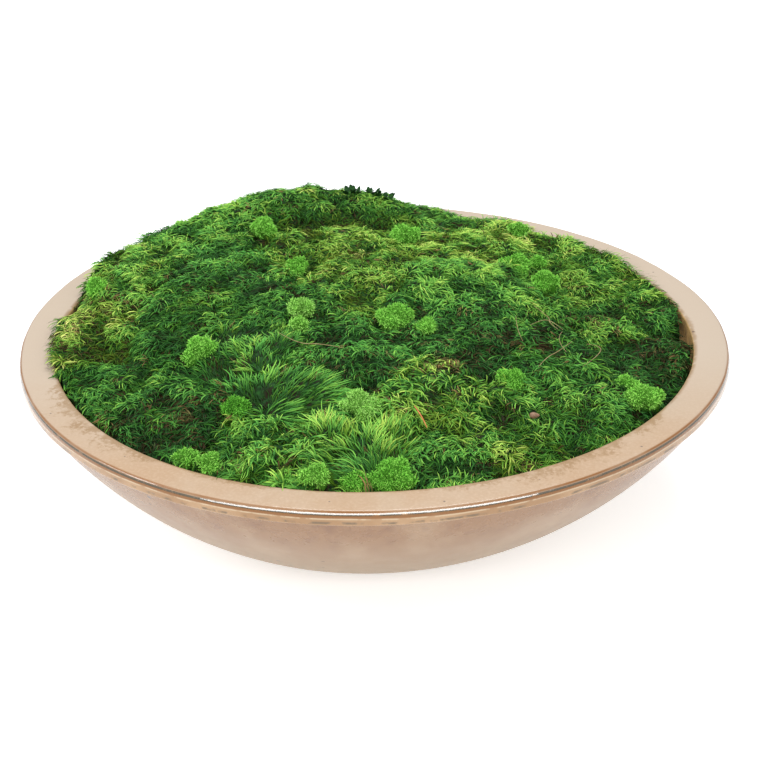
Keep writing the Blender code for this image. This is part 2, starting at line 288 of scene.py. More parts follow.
TUFTS = {
    "back_edge": Tuft(),
    "back_left": Tuft(shift=(0.0, 0.004, 0.002)),
    "back_right": Tuft(shift=(0.001, 0.008, 0.005)),
    "centre_a": Tuft(shift=(0.001, 0.008, 0.004)),
    "centre_b": Tuft(shift=(0.003, 0.007, 0.001)),
    "crown_left": Tuft(0.80, shift=(0.0, 0.008, 0.003)),
    "crown_low": Tuft(0.70, shift=(0.002, 0.006, 0.001)),
    "far_right_a": Tuft(0.60),
    "far_right_b": Tuft(shift=(-0.001, -0.004, -0.002)),
    "front_a": Tuft(0.62, 0.95, shift=(0.001, -0.008, -0.008)),
    "front_b": Tuft(0.55, shift=(0.001, 0.0, -0.009)),
    "front_c": Tuft(0.45, 0.95, shift=(-0.005, -0.006, -0.004)),
    "front_combed": Tuft(0.85, shift=(0.0, 0.008, 0.003)),
    "front_d": Tuft(0.40, shift=(0.0, -0.001, -0.005)),
    "front_left_a": Tuft(shift=(0.004, -0.008, -0.009)),
    "front_left_b": Tuft(0.60, shift=(0.001, -0.007, -0.007)),
    "front_right": Tuft(0.45, shift=(-0.005, 0.007, 0.002)),
    "heart": Tuft(0.20, 0.9, shift=(-0.001, 0.007, 0.001)),
    "left": Tuft(shift=(-0.001, 0.001, 0.0)),
    "left_edge": Tuft(0.50, 0.85, shift=(0.005, 0.006, 0.002)),
    "right_a": Tuft(0.50, shift=(0.001, 0.008, 0.004)),
    "right_b": Tuft(0.50, shift=(0.002, 0.009, 0.006)),
    "right_c": Tuft(0.45, shift=(-0.004, 0.006, 0.003)),
    "upper": Tuft(0.50),
}

# The planting's grid: how far it reaches from the middle, how far out a tuft's hole is closed over, and by
# how many cells it grows out to the wall, with its fall at each
GRID_REACH = 0.285
HOLES_WITHIN = 0.262
EDGE_CELLS = 6
EDGE_FALL = 0.0020

# Low moss in front falls to the bowl's wall: over these distances from the middle, heights and places in y
FALL_OUT = (0.240, 0.268)
FALL_HEIGHT = (0.173, 0.162)
FALL_FORWARD = (-0.06, -0.14)

# The moss's colours along its map: for tints from dead to golden, the stems and the tips, and then the
# painted shade and light that they are multiplied by from root to tip, darkest deep at the roots
CUSHION_GREENS = (
    (0.00, (0.085, 0.052, 0.018)),
    (0.10, (0.045, 0.036, 0.010)),
    (0.18, (0.012, 0.055, 0.012)),
    (0.35, (0.022, 0.128, 0.021)),
    (0.52, (0.048, 0.219, 0.022)),
    (0.70, (0.110, 0.278, 0.018)),
    (0.88, (0.205, 0.335, 0.030)),
    (1.00, (0.330, 0.370, 0.060)),
)
CUSHION_TIPS = (
    (0.00, (0.230, 0.150, 0.060)),
    (0.16, (0.034, 0.185, 0.030)),
    (0.35, (0.098, 0.338, 0.052)),
    (0.55, (0.222, 0.490, 0.070)),
    (0.75, (0.440, 0.610, 0.110)),
    (1.00, (0.740, 0.690, 0.260)),
)
CUSHION_PAINTED_SHADE = (
    (0.00, (0.22, 0.20, 0.12)),
    (0.28, (0.56, 0.54, 0.43)),
    (0.56, (0.93, 0.92, 0.89)),
    (1.00, (1.15, 1.14, 1.09)),
)
REINDEER_GREENS = (
    (0.0, (0.090, 0.350, 0.030)),
    (0.4, (0.220, 0.620, 0.075)),
    (0.7, (0.350, 0.740, 0.135)),
    (1.0, (0.480, 0.820, 0.230)),
)
REINDEER_PAINTED_SHADE = (
    (0.0, (0.22, 0.30, 0.16)),
    (0.5, (0.85, 0.90, 0.80)),
    (1.0, (1.25, 1.20, 1.20)),
)

# The rim's top; the soil's outer side, with the height of its foot where the planting stands high, its
# least depth and how much painted light it gets; and how thick the moss grows there and how far out it does
RIM_TOP = 0.1585
SKIRT_FOOT = 0.138
SKIRT_DEPTH = 0.015
SKIRT_PAINTED_LIGHT = 0.8
HANGING = 0.45
HANGING_FROM = 0.235

DOWN = Vector((0, 0, -1))

# How many shapes of shoot and of sprig there are to pick from, and the arms of a sprig
SHOOT_KINDS = 8
SPRIG_KINDS = 5
SPRIG_ARMS = 5

# How many lumps stand round a tuft's middle one, and how far under it, against its size, its stalk starts
LUMPS_ROUND = 7
WAIST = 0.3


class BowlSettings(bpy.types.PropertyGroup):
    """Sizes and colours of the glazed bowl."""

    rim_width: bpy.props.FloatProperty(
        name="Rim width", description="Width of the flat rim", default=0.030, unit="LENGTH"
    )
    collar_height: bpy.props.FloatProperty(
        name="Collar height", description="Height of the upright collar", default=0.012, unit="LENGTH"
    )
    collar_step: bpy.props.FloatProperty(
        name="Collar step", description="How far the body steps in", default=0.003, unit="LENGTH"
    )
    wall: bpy.props.FloatProperty(
        name="Wall", description="Thickness of the wall", default=0.020, unit="LENGTH"
    )
    foot_radius: bpy.props.FloatProperty(
        name="Foot radius", description="Outer radius of the foot ring", default=0.133, unit="LENGTH"
    )
    unevenness: bpy.props.FloatProperty(
        name="Unevenness", description="How far the surface strays", default=0.0004, unit="LENGTH"
    )
    steps: bpy.props.IntProperty(
        name="Steps", description="Steps round the bowl", default=288, min=48
    )
    rim_colour: bpy.props.FloatVectorProperty(
        name="Rim", description="Glaze on the rim", subtype="COLOR", default=(0.425, 0.308, 0.210)
    )
    body_colour: bpy.props.FloatVectorProperty(
        name="Body", description="Glaze on the body", subtype="COLOR", default=(0.245, 0.134, 0.068)
    )
    foot_colour: bpy.props.FloatVectorProperty(
        name="Foot", description="Glaze near the foot", subtype="COLOR", default=(0.330, 0.242, 0.158)
    )
    break_colour: bpy.props.FloatVectorProperty(
        name="Break",
        description="Glaze thinned over an edge",
        subtype="COLOR",
        default=(0.23, 0.095, 0.025),
    )


class CushionMossSettings(bpy.types.PropertyGroup):
    """How the cushion moss grows."""

    grain: bpy.props.FloatProperty(
        name="Grain", description="Step of the soil's grid", default=0.003, unit="LENGTH"
    )
    depth: bpy.props.FloatProperty(
        name="Depth", description="How far the soil lies under the tips", default=0.0050, unit="LENGTH"
    )
    seam: bpy.props.FloatProperty(
        name="Seam",
        description="Widest dip between clumps that the moss grows over",
        default=0.018,
        unit="LENGTH",
    )
    wall_fall: bpy.props.FloatProperty(
        name="Fall", description="How far low moss falls to the bowl's wall", default=0.008, unit="LENGTH"
    )
    lump: bpy.props.FloatProperty(
        name="Lump", description="Height of the small lumps in a clump", default=0.0045, unit="LENGTH"
    )
    lump_width: bpy.props.FloatProperty(
        name="Lump width", description="Distance between small lumps", default=0.022, unit="LENGTH"
    )
    spacing: bpy.props.FloatProperty(
        name="Spacing", description="Least distance between shoots", default=0.00245, unit="LENGTH"
    )
    strands: bpy.props.IntProperty(
        name="Strands", description="Strands in a shoot", default=5, min=2
    )
    strand_length: bpy.props.FloatProperty(
        name="Strand length", description="Length of a strand", default=0.0098, unit="LENGTH"
    )
    long_strand_length: bpy.props.FloatProperty(
        name="Long strand length", description="Length of a combed strand", default=0.021, unit="LENGTH"
    )
    strand_width: bpy.props.FloatProperty(
        name="Strand width", description="Width of a strand", default=0.00072, unit="LENGTH"
    )
    swirl: bpy.props.FloatProperty(
        name="Swirl", description="How far the flow turns", default=1.1, subtype="ANGLE"
    )
    scatter: bpy.props.FloatProperty(
        name="Scatter", description="How far one shoot turns", default=0.60, subtype="ANGLE"
    )
    seed: bpy.props.IntProperty(
        name="Seed", description="Seed of everything random", default=7
    )


class ReindeerMossSettings(bpy.types.PropertyGroup):
    """How the reindeer-moss tufts branch."""

    spacing: bpy.props.FloatProperty(
        name="Spacing", description="Least distance between sprigs", default=0.00138, unit="LENGTH"
    )
    sprig_height: bpy.props.FloatProperty(
        name="Sprig height", description="Height of a forked sprig", default=0.0042, unit="LENGTH"
    )
    sprig_width: bpy.props.FloatProperty(
        name="Sprig width", description="Width of a branch", default=0.00066, unit="LENGTH"
    )
    seed: bpy.props.IntProperty(
        name="Seed", description="Seed of everything random", default=11
    )


class BitsSettings(bpy.types.PropertyGroup):
    """Loose bits that lie on the moss."""

    needle_radius: bpy.props.FloatProperty(
        name="Needle radius", description="Radius of the fallen needle", default=0.0007, unit="LENGTH"
    )
    stem_radius: bpy.props.FloatProperty(
        name="Stem radius", description="Radius of the dry stems", default=0.00034, unit="LENGTH"
    )
    seed_length: bpy.props.FloatProperty(
        name="Seed length", description="Length of the seed", default=0.008, unit="LENGTH"
    )
    leaf_length: bpy.props.FloatProperty(
        name="Leaf length", description="Length of a dry leaf", default=0.0085, unit="LENGTH"
    )


class StageSettings(bpy.types.PropertyGroup):
    """Camera, light and floor."""

    focal_pixels: bpy.props.FloatProperty(
        name="Focal length", description="Focal length in picture pixels", default=1650.0
    )
    distance: bpy.props.FloatProperty(
        name="Distance", description="Camera to the rim's middle", default=1.4165, unit="LENGTH"
    )
    elevation: bpy.props.FloatProperty(
        name="Elevation",
        description="How far the camera looks down",
        default=math.radians(25.14),
        subtype="ANGLE",
    )
    rim_centre_x: bpy.props.FloatProperty(
        name="Rim centre across",
        description="Where the rim's middle falls, pixels from the left",
        default=371.5,
    )
    rim_centre_y: bpy.props.FloatProperty(
        name="Rim centre down",
        description="Where the rim's middle falls, pixels from the top",
        default=329.2,
    )
    roll: bpy.props.FloatProperty(
        name="Roll",
        description="Turn of the picture",
        default=math.radians(0.898),
        subtype="ANGLE",
    )
    floor_colour: bpy.props.FloatVectorProperty(
        name="Floor", description="Colour of the floor", subtype="COLOR", default=(0.90, 0.92, 0.94)
    )
    floor_glow: bpy.props.FloatProperty(
        name="Floor glow", description="Light that the lit table gives off", default=0.44, min=0.0
    )


# Node trees


def socket(sockets, key):
    """The live socket of that name, or the one of that number."""
    if isinstance(key, int):
        return sockets[key]
    return next(s for s in sockets if s.name == key and s.enabled)


def add(tree, kind, settings=None, inputs=None):
    """A new node. An input takes a value, a socket or a node, whose first live output is used."""
    made = tree.nodes.new(kind)
    for key, value in (settings or {}).items():
        setattr(made, key, value)
    for key, value in (inputs or {}).items():
        target = socket(made.inputs, key)
        if isinstance(value, bpy.types.Node):
            value = next(s for s in value.outputs if s.enabled)
        if isinstance(value, bpy.types.NodeSocket):
            tree.links.new(value, target)
        else:
            target.default_value = value
    return made


def maths(tree, operation, *values):
    """A maths node's result."""
    return add(tree, "ShaderNodeMath", {"operation": operation}, dict(enumerate(values))).outputs[0]


def times(tree, first, second):
    """Two numbers multiplied."""
    return maths(tree, "MULTIPLY", first, second)


def plus(tree, first, second):
    """Two numbers added."""
    return maths(tree, "ADD", first, second)


def less(tree, first, second):
    """The first number less the second."""
    return maths(tree, "SUBTRACT", first, second)


def vector_maths(tree, operation, *values):
    """A vector maths node's vector."""
    made = add(tree, "ShaderNodeVectorMath", {"operation": operation}, dict(enumerate(values)))
    return made.outputs[0]


def measure(tree, operation, *values):
    """A vector maths node's number: a length, a distance or a dot product."""
    made = add(tree, "ShaderNodeVectorMath", {"operation": operation}, dict(enumerate(values)))
    return made.outputs["Value"]


def rise(tree, value, low, high):
    """0 below low, 1 above high, and a smooth step between; it falls where low is above high."""
    settings = {"interpolation_type": "SMOOTHSTEP"}
    ends = (0.0, 1.0) if low < high else (1.0, 0.0)
    inputs = {"Value": value, "From Min": min(low, high), "From Max": max(low, high)}
    inputs.update({"To Min": ends[0], "To Max": ends[1]})
    return add(tree, "ShaderNodeMapRange", settings, inputs).outputs[0]


def band(tree, value, low, high, soft):
    """1 between low and high, and 0 outside, with soft ends."""
    lower = rise(tree, value, low - soft, low + soft)
    upper = rise(tree, value, high + soft, high - soft)
    return times(tree, lower, upper)


def mix(tree, share, first, second, blend="MIX"):
    """Two colours mixed."""
    first, second = (c if isinstance(c, bpy.types.NodeSocket) else (*c, 1.0) for c in (first, second))
    settings = {"data_type": "RGBA", "blend_type": blend}
    return add(tree, "ShaderNodeMix", settings, {0: share, 6: first, 7: second}).outputs[2]


def mixed_vector(tree, share, first, second):
    """Two vectors mixed."""
    return add(tree, "ShaderNodeMix", {"data_type": "VECTOR"}, {0: share, 4: first, 5: second}).outputs[1]


def ramp(tree, value, stops):
    """A colour ramp with stops of (place, colour)."""
    made = add(tree, "ShaderNodeValToRGB", inputs={"Fac": value})
    elements = made.color_ramp.elements
    while len(elements) < len(stops):
        elements.new(0.5)
    for element, (place, colour) in zip(elements, stops):
        element.position = place
        element.color = (*colour, 1.0)
    return made.outputs["Color"]


def noise_of(tree, vector, scale, detail=3.0, roughness=0.55):
    """A noise texture's value."""
    inputs = {"Vector": vector, "Scale": scale, "Detail": detail, "Roughness": roughness}
    return add(tree, "ShaderNodeTexNoise", inputs=inputs).outputs[0]


def bump(tree, height, strength, distance):
    """A bump node's normal."""
    inputs = {"Strength": strength, "Distance": distance, "Height": height}
    return add(tree, "ShaderNodeBump", inputs=inputs).outputs[0]


def new_material(name, roughness, **constants):
    """A material with a Principled surface and its constants; returns it, its tree and the surface."""
    made = bpy.data.materials.new(name)
    made.use_nodes = True
    tree = made.node_tree
    surface = tree.nodes["Principled BSDF"]
    surface.inputs["Roughness"].default_value = roughness
    for key, value in constants.items():
        surface.inputs[key.replace("_", " ").title().replace("Ior", "IOR")].default_value = value
    return made, tree, surface


def geometry_tree(name, sockets):
    """An empty Geometry Nodes tree with a geometry output and the named inputs, of (name, kind)."""
    tree = bpy.data.node_groups.new(name, "GeometryNodeTree")
    tree.interface.new_socket(name="Geometry", in_out="INPUT", socket_type="NodeSocketGeometry")
    for title, kind in sockets:
        tree.interface.new_socket(name=title, in_out="INPUT", socket_type="NodeSocket" + kind)
    tree.interface.new_socket(name="Geometry", in_out="OUTPUT", socket_type="NodeSocketGeometry")
    return tree, tree.nodes.new("NodeGroupInput")


def applied(base, tree, values):
    """A plain mesh of a base mesh after a Geometry Nodes tree with these inputs."""
    holder = bpy.data.objects.new("holder", base)
    bpy.context.scene.collection.objects.link(holder)
    modifier = holder.modifiers.new(tree.name, "NODES")
    modifier.node_group = tree
    for item in tree.interface.items_tree:
        if item.item_type == "SOCKET" and item.in_out == "INPUT" and item.name in values:
            modifier[item.identifier] = values[item.name]
    bpy.context.view_layer.update()
    graph = bpy.context.evaluated_depsgraph_get()
    mesh = bpy.data.meshes.new_from_object(holder.evaluated_get(graph))
    holder.modifiers.remove(modifier)
    bpy.data.objects.remove(holder)
    return mesh


# Pieces


def place_piece(name, mesh, slot=None, *nodes):
    """Puts a mesh in the scene, riding on the body, in place of its nodes; its slot is not used."""
    piece = bpy.data.objects.new(name, mesh)
    bpy.context.scene.collection.objects.link(piece)
    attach(piece, BODY)
    if nodes:
        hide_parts(*nodes)


def out_of_round(point):
    """The place that a point of the round design takes in the fired bowl."""
    angle = math.atan2(point.y, point.x)
    stretch = 1 - OVAL * math.sin(2 * angle) + TRIANGULAR * math.cos(3 * angle)
    return Vector((point.x * stretch, point.y * stretch, point.z))


def finished(cage, name, smooth=True):
    """The cage's mesh; the cage itself is let go."""
    mesh = bpy.data.meshes.new(name)
    cage.to_mesh(mesh)
    cage.free()
    if smooth:
        mesh.shade_smooth()
    return mesh


def variants(name, meshes):
    """A collection of shapes for Geometry Nodes to pick from. It isn't linked to the scene."""
    kept = bpy.data.collections.new(name)
    for number, mesh in enumerate(meshes):
        kept.objects.link(bpy.data.objects.new(f"{name}_{number}", mesh))
    return kept


# The bowl


def corner_arc(before, corner, after, radius, steps=5):
    """The points that round a profile's corner."""
    first = (before - corner).normalized()
    second = (after - corner).normalized()
    half = first.angle(second) / 2
    start = corner + first * (radius / math.tan(half))
    end = corner + second * (radius / math.tan(half))
    centre = corner + (first + second).normalized() * (radius / math.sin(half))
    turn = (start - centre).angle_signed(end - centre)
    return [centre + Matrix.Rotation(-turn * i / steps, 2) @ (start - centre) for i in range(steps + 1)]


def sphere_arc(radius, low, high, count=24):
    """Points along a sphere about the bowl's centre of curvature, between two heights."""
    first = math.acos((BODY_CENTRE - low) / radius)
    last = math.acos((BODY_CENTRE - high) / radius)
    angles = [first + (last - first) * i / (count - 1) for i in range(count)]
    return [Vector((radius * math.sin(a), BODY_CENTRE - radius * math.cos(a))) for a in angles]


def rolled_edge(rim, top):
    """The outer top edge: a roll with a flatter bevel half-way, that catches a long light."""
    places = [Vector((0, 0))]
    for first, last, radius in EDGE_ARCS:
        for part in range(EDGE_PARTS):
            before = math.radians(first + (last - first) * part / EDGE_PARTS)
            after = math.radians(first + (last - first) * (part + 1) / EDGE_PARTS)
            step = Vector((math.cos(after) - math.cos(before), math.sin(after) - math.sin(before))) * radius
            places.append(places[-1] + step)
    shift = Vector((rim - places[-1].x, top))
    return [place + shift for place in places]


def bowl_profile(settings):
    """Points (x, z) from the floor's middle up the inside, over the rim and down to the foot's middle."""
    low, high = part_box("bowl")
    rim = (high.y - low.y) / 2
    top = high.z
    throat = rim - settings.rim_width
    collar_foot = top - settings.collar_height
    neck = rim - settings.collar_step
    inner = sphere_arc(BODY_RADIUS - settings.wall, settings.wall, top - BODY_ENDS_UNDER_TOP)
    outer = sphere_arc(BODY_RADIUS, BODY_STARTS_AT, collar_foot - BODY_ENDS_UNDER_COLLAR)[::-1]
    points = [Vector((0, settings.wall))] + inner
    points += corner_arc(inner[-1], Vector((throat, top)), Vector((rim, top)), THROAT_ROUND)
    points += rolled_edge(rim, top)
    collar = Vector((rim, collar_foot))
    under = Vector((neck, collar_foot))
    points += corner_arc(Vector((rim, top)), collar, under, COLLAR_ROUND)
    points += corner_arc(collar, under, outer[0], NECK_ROUND)
    points += outer
    points += [Vector((settings.foot_radius + out, height)) for out, height in FOOT_RING]
    points += [Vector((0, FOOT_RING[-1][1]))]
    return points


def filled_in(points, longest):
    """A profile with points added so that no step is longer than a length."""
    full = []
    for start, end in zip(points, points[1:]):
        parts = max(1, math.ceil((end - start).length / longest))
        full += [start.lerp(end, i / parts) for i in range(parts)]
    return full + [points[-1]]


def bowl_mesh(settings):
    """The turned bowl, a little uneven and out of round, with its design places kept for the glaze."""
    profile = filled_in(bowl_profile(settings), LONGEST_STEP)
    outline = bpy.data.meshes.new("bowl_outline")
    outline.from_pydata([(p.x, 0, p.y) for p in profile], [(i, i + 1) for i in range(len(profile) - 1)], [])
    lathe = bpy.data.objects.new("bowl_lathe", outline)
    bpy.context.scene.collection.objects.link(lathe)
    screw = lathe.modifiers.new("Turn", "SCREW")
    screw.steps = settings.steps
    screw.render_steps = settings.steps
    screw.use_merge_vertices = True
    screw.merge_threshold = 0.00005
    bpy.context.view_layer.update()
    mesh = bpy.data.meshes.new_from_object(lathe.evaluated_get(bpy.context.evaluated_depsgraph_get()))
    bpy.data.objects.remove(lathe)
    design = mesh.attributes.new("design", "FLOAT_VECTOR", "POINT")
    for vertex in mesh.vertices:
        point = vertex.co.copy()
        design.data[vertex.index].vector = point
        stray = noise.noise(point * 14) + 0.5 * noise.noise(point * 45)
        grounded = min(1.0, max(0.0, point.z / 0.02))
        radial = Vector((point.x, point.y, 0)) / max(0.02, math.hypot(point.x, point.y))
        point += (radial + Vector((0, 0, 0.5))) * stray * settings.unevenness * grounded
        vertex.co = out_of_round(point)
    mesh.shade_smooth()
    return mesh


def glaze(settings):
    """Pale speckled glaze that breaks to brown over edges, with stains on the rim and streaks below."""
    made, tree, surface = new_material("glaze", 0.3, specular_ior_level=0.3)
    design = add(tree, "ShaderNodeAttribute", {"attribute_name": "design"}).outputs["Vector"]
    parts = add(tree, "ShaderNodeSeparateXYZ", inputs={"Vector": design}).outputs
    across = add(tree, "ShaderNodeCombineXYZ", inputs={0: parts[0], 1: parts[1]}).outputs[0]
    radius = measure(tree, "LENGTH", across)
    low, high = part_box("bowl")
    rim = (high.y - low.y) / 2
    throat = rim - settings.rim_width
    depth = less(tree, high.z, parts[2])
    blotch = noise_of(tree, design, 14.0, 4.0)
    mottle = noise_of(tree, design, 85.0, 5.0, 0.65)
    fine = noise_of(tree, design, 420.0, 3.0)
    inputs = {"Vector": design, "Scale": STREAK_STRETCH}
    stretched = add(tree, "ShaderNodeMapping", inputs=inputs).outputs[0]
    streak = noise_of(tree, stretched, 85.0, 4.0, 0.6)
    broad_streak = noise_of(tree, stretched, 26.0, 3.0)

    def coat(under, cover, strength, colour):
        """A colour over what is under it, as thick as its cover and strength say."""
        return mix(tree, times(tree, cover, strength), under, colour)

    # The body: brown streaks that run from under the collar and fade, paler and greyer to the foot
    down = rise(tree, depth, 0.020, 0.120)
    body = mix(tree, down, settings.body_colour, settings.foot_colour)
    streaked = times(tree, rise(tree, streak, 0.44, 0.72), rise(tree, depth, 0.075, 0.010))
    body = coat(body, streaked, 0.75, (0.18, 0.092, 0.052))
    body = coat(body, rise(tree, broad_streak, 0.46, 0.72), 0.45, (0.37, 0.265, 0.170))
    body = coat(body, rise(tree, mottle, 0.45, 0.75), 0.20, (0.30, 0.19, 0.12))

    # The collar: an orange-brown band, and the lines over and under it
    drop = plus(tree, depth, times(tree, less(tree, blotch, 0.5), 0.0022))
    collar = mix(tree, rise(tree, broad_streak, 0.35, 0.65), (0.30, 0.170, 0.080), (0.38, 0.235, 0.125))
    brown = band(tree, drop, 0.0028, 0.0052, 0.0005)
    collar = coat(collar, brown, rise(tree, blotch, 0.20, 0.42), (0.21, 0.085, 0.018))
    for wanders, top, foot, soft, broken, strength, colour in COLLAR_LINES:
        line = band(tree, drop if wanders else depth, top, foot, soft)
        collar = coat(collar, times(tree, line, rise(tree, mottle, *broken)), strength, colour)
    beside_rim = rise(tree, radius, rim - 0.0046, rim - 0.0036)
    on_collar = times(tree, beside_rim, rise(tree, depth, COLLAR_DEPTH + 0.0007, COLLAR_DEPTH))
    colour = mix(tree, on_collar, body, collar)

    # The rim's top, with freckles and feathery brown stains that bleed out of its inner edge
    rim_top = mix(tree, rise(tree, blotch, 0.35, 0.68), settings.rim_colour, (0.40, 0.268, 0.165))
    rim_top = coat(rim_top, rise(tree, mottle, 0.42, 0.75), 0.35, (0.37, 0.24, 0.14))
    rim_top = coat(rim_top, rise(tree, fine, 0.40, 0.75), 0.22, (0.60, 0.47, 0.34))
    rim_top = coat(rim_top, rise(tree, parts[1], -0.25, -0.04), 0.88, (0.450, 0.372, 0.292))
    feather = times(tree, rise(tree, noise_of(tree, design, 260.0, 5.0, 0.75), 0.34, 0.70), 1.2)
    bearing = vector_maths(tree, "NORMALIZE", across)
    reach = times(tree, rise(tree, noise_of(tree, design, 11.0, 2.0), 0.50, 0.64), 0.002)
    for heading, width, length in STAINS:
        way = (math.cos(math.radians(heading)), math.sin(math.radians(heading)), 0.0)
        near = measure(tree, "DOT_PRODUCT", bearing, way)
        spread = rise(tree, near, math.cos(math.radians(width)), 1.0)
        reach = maths(tree, "MAXIMUM", reach, times(tree, spread, length * 1.7))
    reach = plus(tree, times(tree, reach, feather), 0.0036)
    stain = maths(tree, "DIVIDE", less(tree, radius, throat), reach)
    soaked = times(tree, rise(tree, stain, 1.25, 0.45), rise(tree, mottle, 0.30, 0.55))
    rim_top = coat(rim_top, soaked, 0.66, (0.235, 0.135, 0.050))
    for x, y, size in SPECKS:
        speck = rise(tree, measure(tree, "DISTANCE", across, (x, y, 0.0)), size, size * 0.5)
        rim_top = coat(rim_top, speck, 0.8, (0.11, 0.085, 0.075))
    outside_throat = rise(tree, radius, throat - 0.001, throat + 0.0004)
    on_top = times(tree, rise(tree, depth, 0.0018, 0.0013), outside_throat)
    colour = mix(tree, on_top, colour, rim_top)

    # The outer edge, where the glaze breaks to brown
    outer_edge = rise(tree, radius, throat + 0.010, throat + 0.012)
    edge = times(tree, band(tree, depth, 0.0003, 0.0015, 0.0003), outer_edge)
    worn = plus(tree, 0.60, times(tree, rise(tree, blotch, 0.36, 0.60), 0.40))
    colour = coat(colour, edge, worn, settings.break_colour)

    # The inside wall
    from_centre = measure(tree, "DISTANCE", design, (0.0, 0.0, BODY_CENTRE))
    hollow = rise(tree, from_centre, BODY_RADIUS - 0.009, BODY_RADIUS - 0.011)
    wall = mix(tree, rise(tree, mottle, 0.35, 0.65), (0.58, 0.36, 0.150), (0.40, 0.25, 0.105))
    colour = coat(colour, rise(tree, radius, throat + 0.0015, throat + 0.0002), hollow, wall)

    # Dark specks in the clay, and a few bluish ones
    inputs = {"Vector": design, "Scale": 55.0, "Randomness": 1.0}
    cells = add(tree, "ShaderNodeTexVoronoi", {"feature": "F1"}, inputs)
    chance = add(tree, "ShaderNodeSeparateColor", inputs={"Color": cells.outputs["Color"]}).outputs
    size = times(tree, rise(tree, chance[0], 0.70, 1.0), 0.095)
    speck = rise(tree, less(tree, cells.outputs["Distance"], size), 0.015, -0.01)
    speck = times(tree, speck, maths(tree, "GREATER_THAN", chance[0], 0.72))
    speck_colour = mix(tree, rise(tree, chance[1], 0.5, 0.6), (0.09, 0.055, 0.035), (0.10, 0.11, 0.13))
    colour = coat(colour, speck, 0.80, speck_colour)

    # Glossy on the rolled edge and under the collar, duller on the rim's top and to the foot
    matt = plus(tree, times(tree, on_top, 0.20), times(tree, down, 0.22))
    rolled = times(tree, rise(tree, depth, 0.0009, 0.0013), rise(tree, depth, 0.0036, 0.0026))
    gloss = plus(tree, 0.10, times(tree, on_collar, 0.20))
    relief = plus(tree, times(tree, mottle, 0.8), times(tree, fine, 0.15))
    dents = plus(tree, noise_of(tree, design, 38.0, 2.0), times(tree, mottle, 0.35))
    finishes = {
        "Base Color": colour,
        "Roughness": plus(tree, times(tree, mottle, 0.18), plus(tree, matt, 0.18)),
        "Coat Weight": plus(tree, gloss, times(tree, rolled, 0.65)),
        "Coat Roughness": rise(tree, depth, 0.0120, 0.0200),
        "Coat IOR": plus(tree, 1.5, times(tree, rolled, 0.65)),
        "Normal": bump(tree, relief, 0.10, 0.0012),
        "Coat Normal": bump(tree, dents, 0.35, 0.0012),
    }
    for key, value in finishes.items():
        tree.links.new(value, surface.inputs[key])
    return made


class MOSSBOWL_OT_bowl(bpy.types.Operator):
    """Turn and glaze the bowl"""

    bl_idname = "mossbowl.bowl"
    bl_label = "Bowl"

    def execute(self, context):
        settings = context.scene.moss_bowl
        mesh = bowl_mesh(settings)
        mesh.materials.clear()
        mesh.materials.append(glaze(settings))
        place_piece("glazed_bowl", mesh, "glaze", "bowl")
        return {"FINISHED"}


class MOSSBOWL_OT_bed(bpy.types.Operator):
    """Finish the foam bed under the moss"""

    bl_idname = "mossbowl.bed"
    bl_label = "Foam bed"

    def execute(self, context):
        made, tree, surface = new_material("floral_foam", 0.95)
        coords = add(tree, "ShaderNodeTexCoord").outputs["Object"]
        pores = noise_of(tree, coords, 900.0, 4.0, 0.7)
        colour = mix(tree, rise(tree, pores, 0.35, 0.65), (0.045, 0.075, 0.035), (0.12, 0.17, 0.08))
        tree.links.new(colour, surface.inputs["Base Color"])
        tree.links.new(bump(tree, pores, 0.5, 0.001), surface.inputs["Normal"])
        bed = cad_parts["foam_bed"]
        bed.data.materials.clear()
        bed.data.materials.append(made)
        return {"FINISHED"}


# Cushion moss


def strand(cage, layers, points, width, leaf, roll):
    """A ribbon through points that tapers to its tip, with its place along and its own number kept."""
    along, number = layers
    last = len(points) - 1
    rows = []
    for index, point in enumerate(points):
        share = index / last
        if index == last:
            places = [point]
        else:
            heading = (points[index + 1] - point).normalized()
            side = heading.cross(Vector((0, 0, 1))).normalized()
            side = Matrix.Rotation(roll, 3, heading) @ side
            half = side * width * (0.35 + 0.6 * share - 0.65 * share**2)
            places = [point - half, point + half]
        row = [cage.verts.new(place) for place in places]
        for vertex in row:
            vertex[along] = share**0.6
            vertex[number] = leaf
        rows.append(row)
    for first, second in zip(rows, rows[1:]):
        cage.faces.new(first + second[::-1])


def shoot_mesh(settings, number, long):
    """A moss shoot: a few strands that rise from one root, sweep to +X and hook over at their tips."""
    rng = random.Random(settings.seed * 100 + number)
    cage = bmesh.new()
    layers = (cage.verts.layers.float.new("along"), cage.verts.layers.float.new("leaf"))
    usual = settings.long_strand_length if long else settings.strand_length
    parts = 5 if long else 4
    lock = rng.uniform(-1, 1)
    for _ in range(settings.strands):
        length = usual * rng.uniform(0.70, 1.30)
        upright = rng.uniform(0.25, 0.55) if long else rng.uniform(0.40, 1.0)
        yaw = rng.uniform(-0.5, 0.5) * (0.6 if long else 2.6)
        curl = (lock + rng.uniform(-0.7, 0.7)) * (0.36 if long else 0.85)
        wave = rng.uniform(-0.06, 0.06)
        hook = rng.uniform(0.40, 0.90) * upright
        root = Vector((rng.uniform(-1, 1), rng.uniform(-1, 1), 0)) * 0.0015
        ahead = Vector((math.cos(yaw), math.sin(yaw), 0))
        aside = Vector((-math.sin(yaw), math.cos(yaw), 0))
        points = []
        for part in range(parts + 1):
            t = part / parts
            forward = (0.95 - 0.6 * upright) * t + 0.40 * upright * t * t
            across = curl * t * t * (1.6 - t) + wave * math.sin(7 * t)
            points.append(root + (ahead * forward + aside * across) * length)
            points[-1].z = (upright * t - hook * t * t) * length
        width = settings.strand_width * rng.uniform(0.7, 1.2)
        strand(cage, layers, points, width, rng.random(), rng.uniform(-0.8, 0.8))
    return finished(cage, f"shoot_{number}")


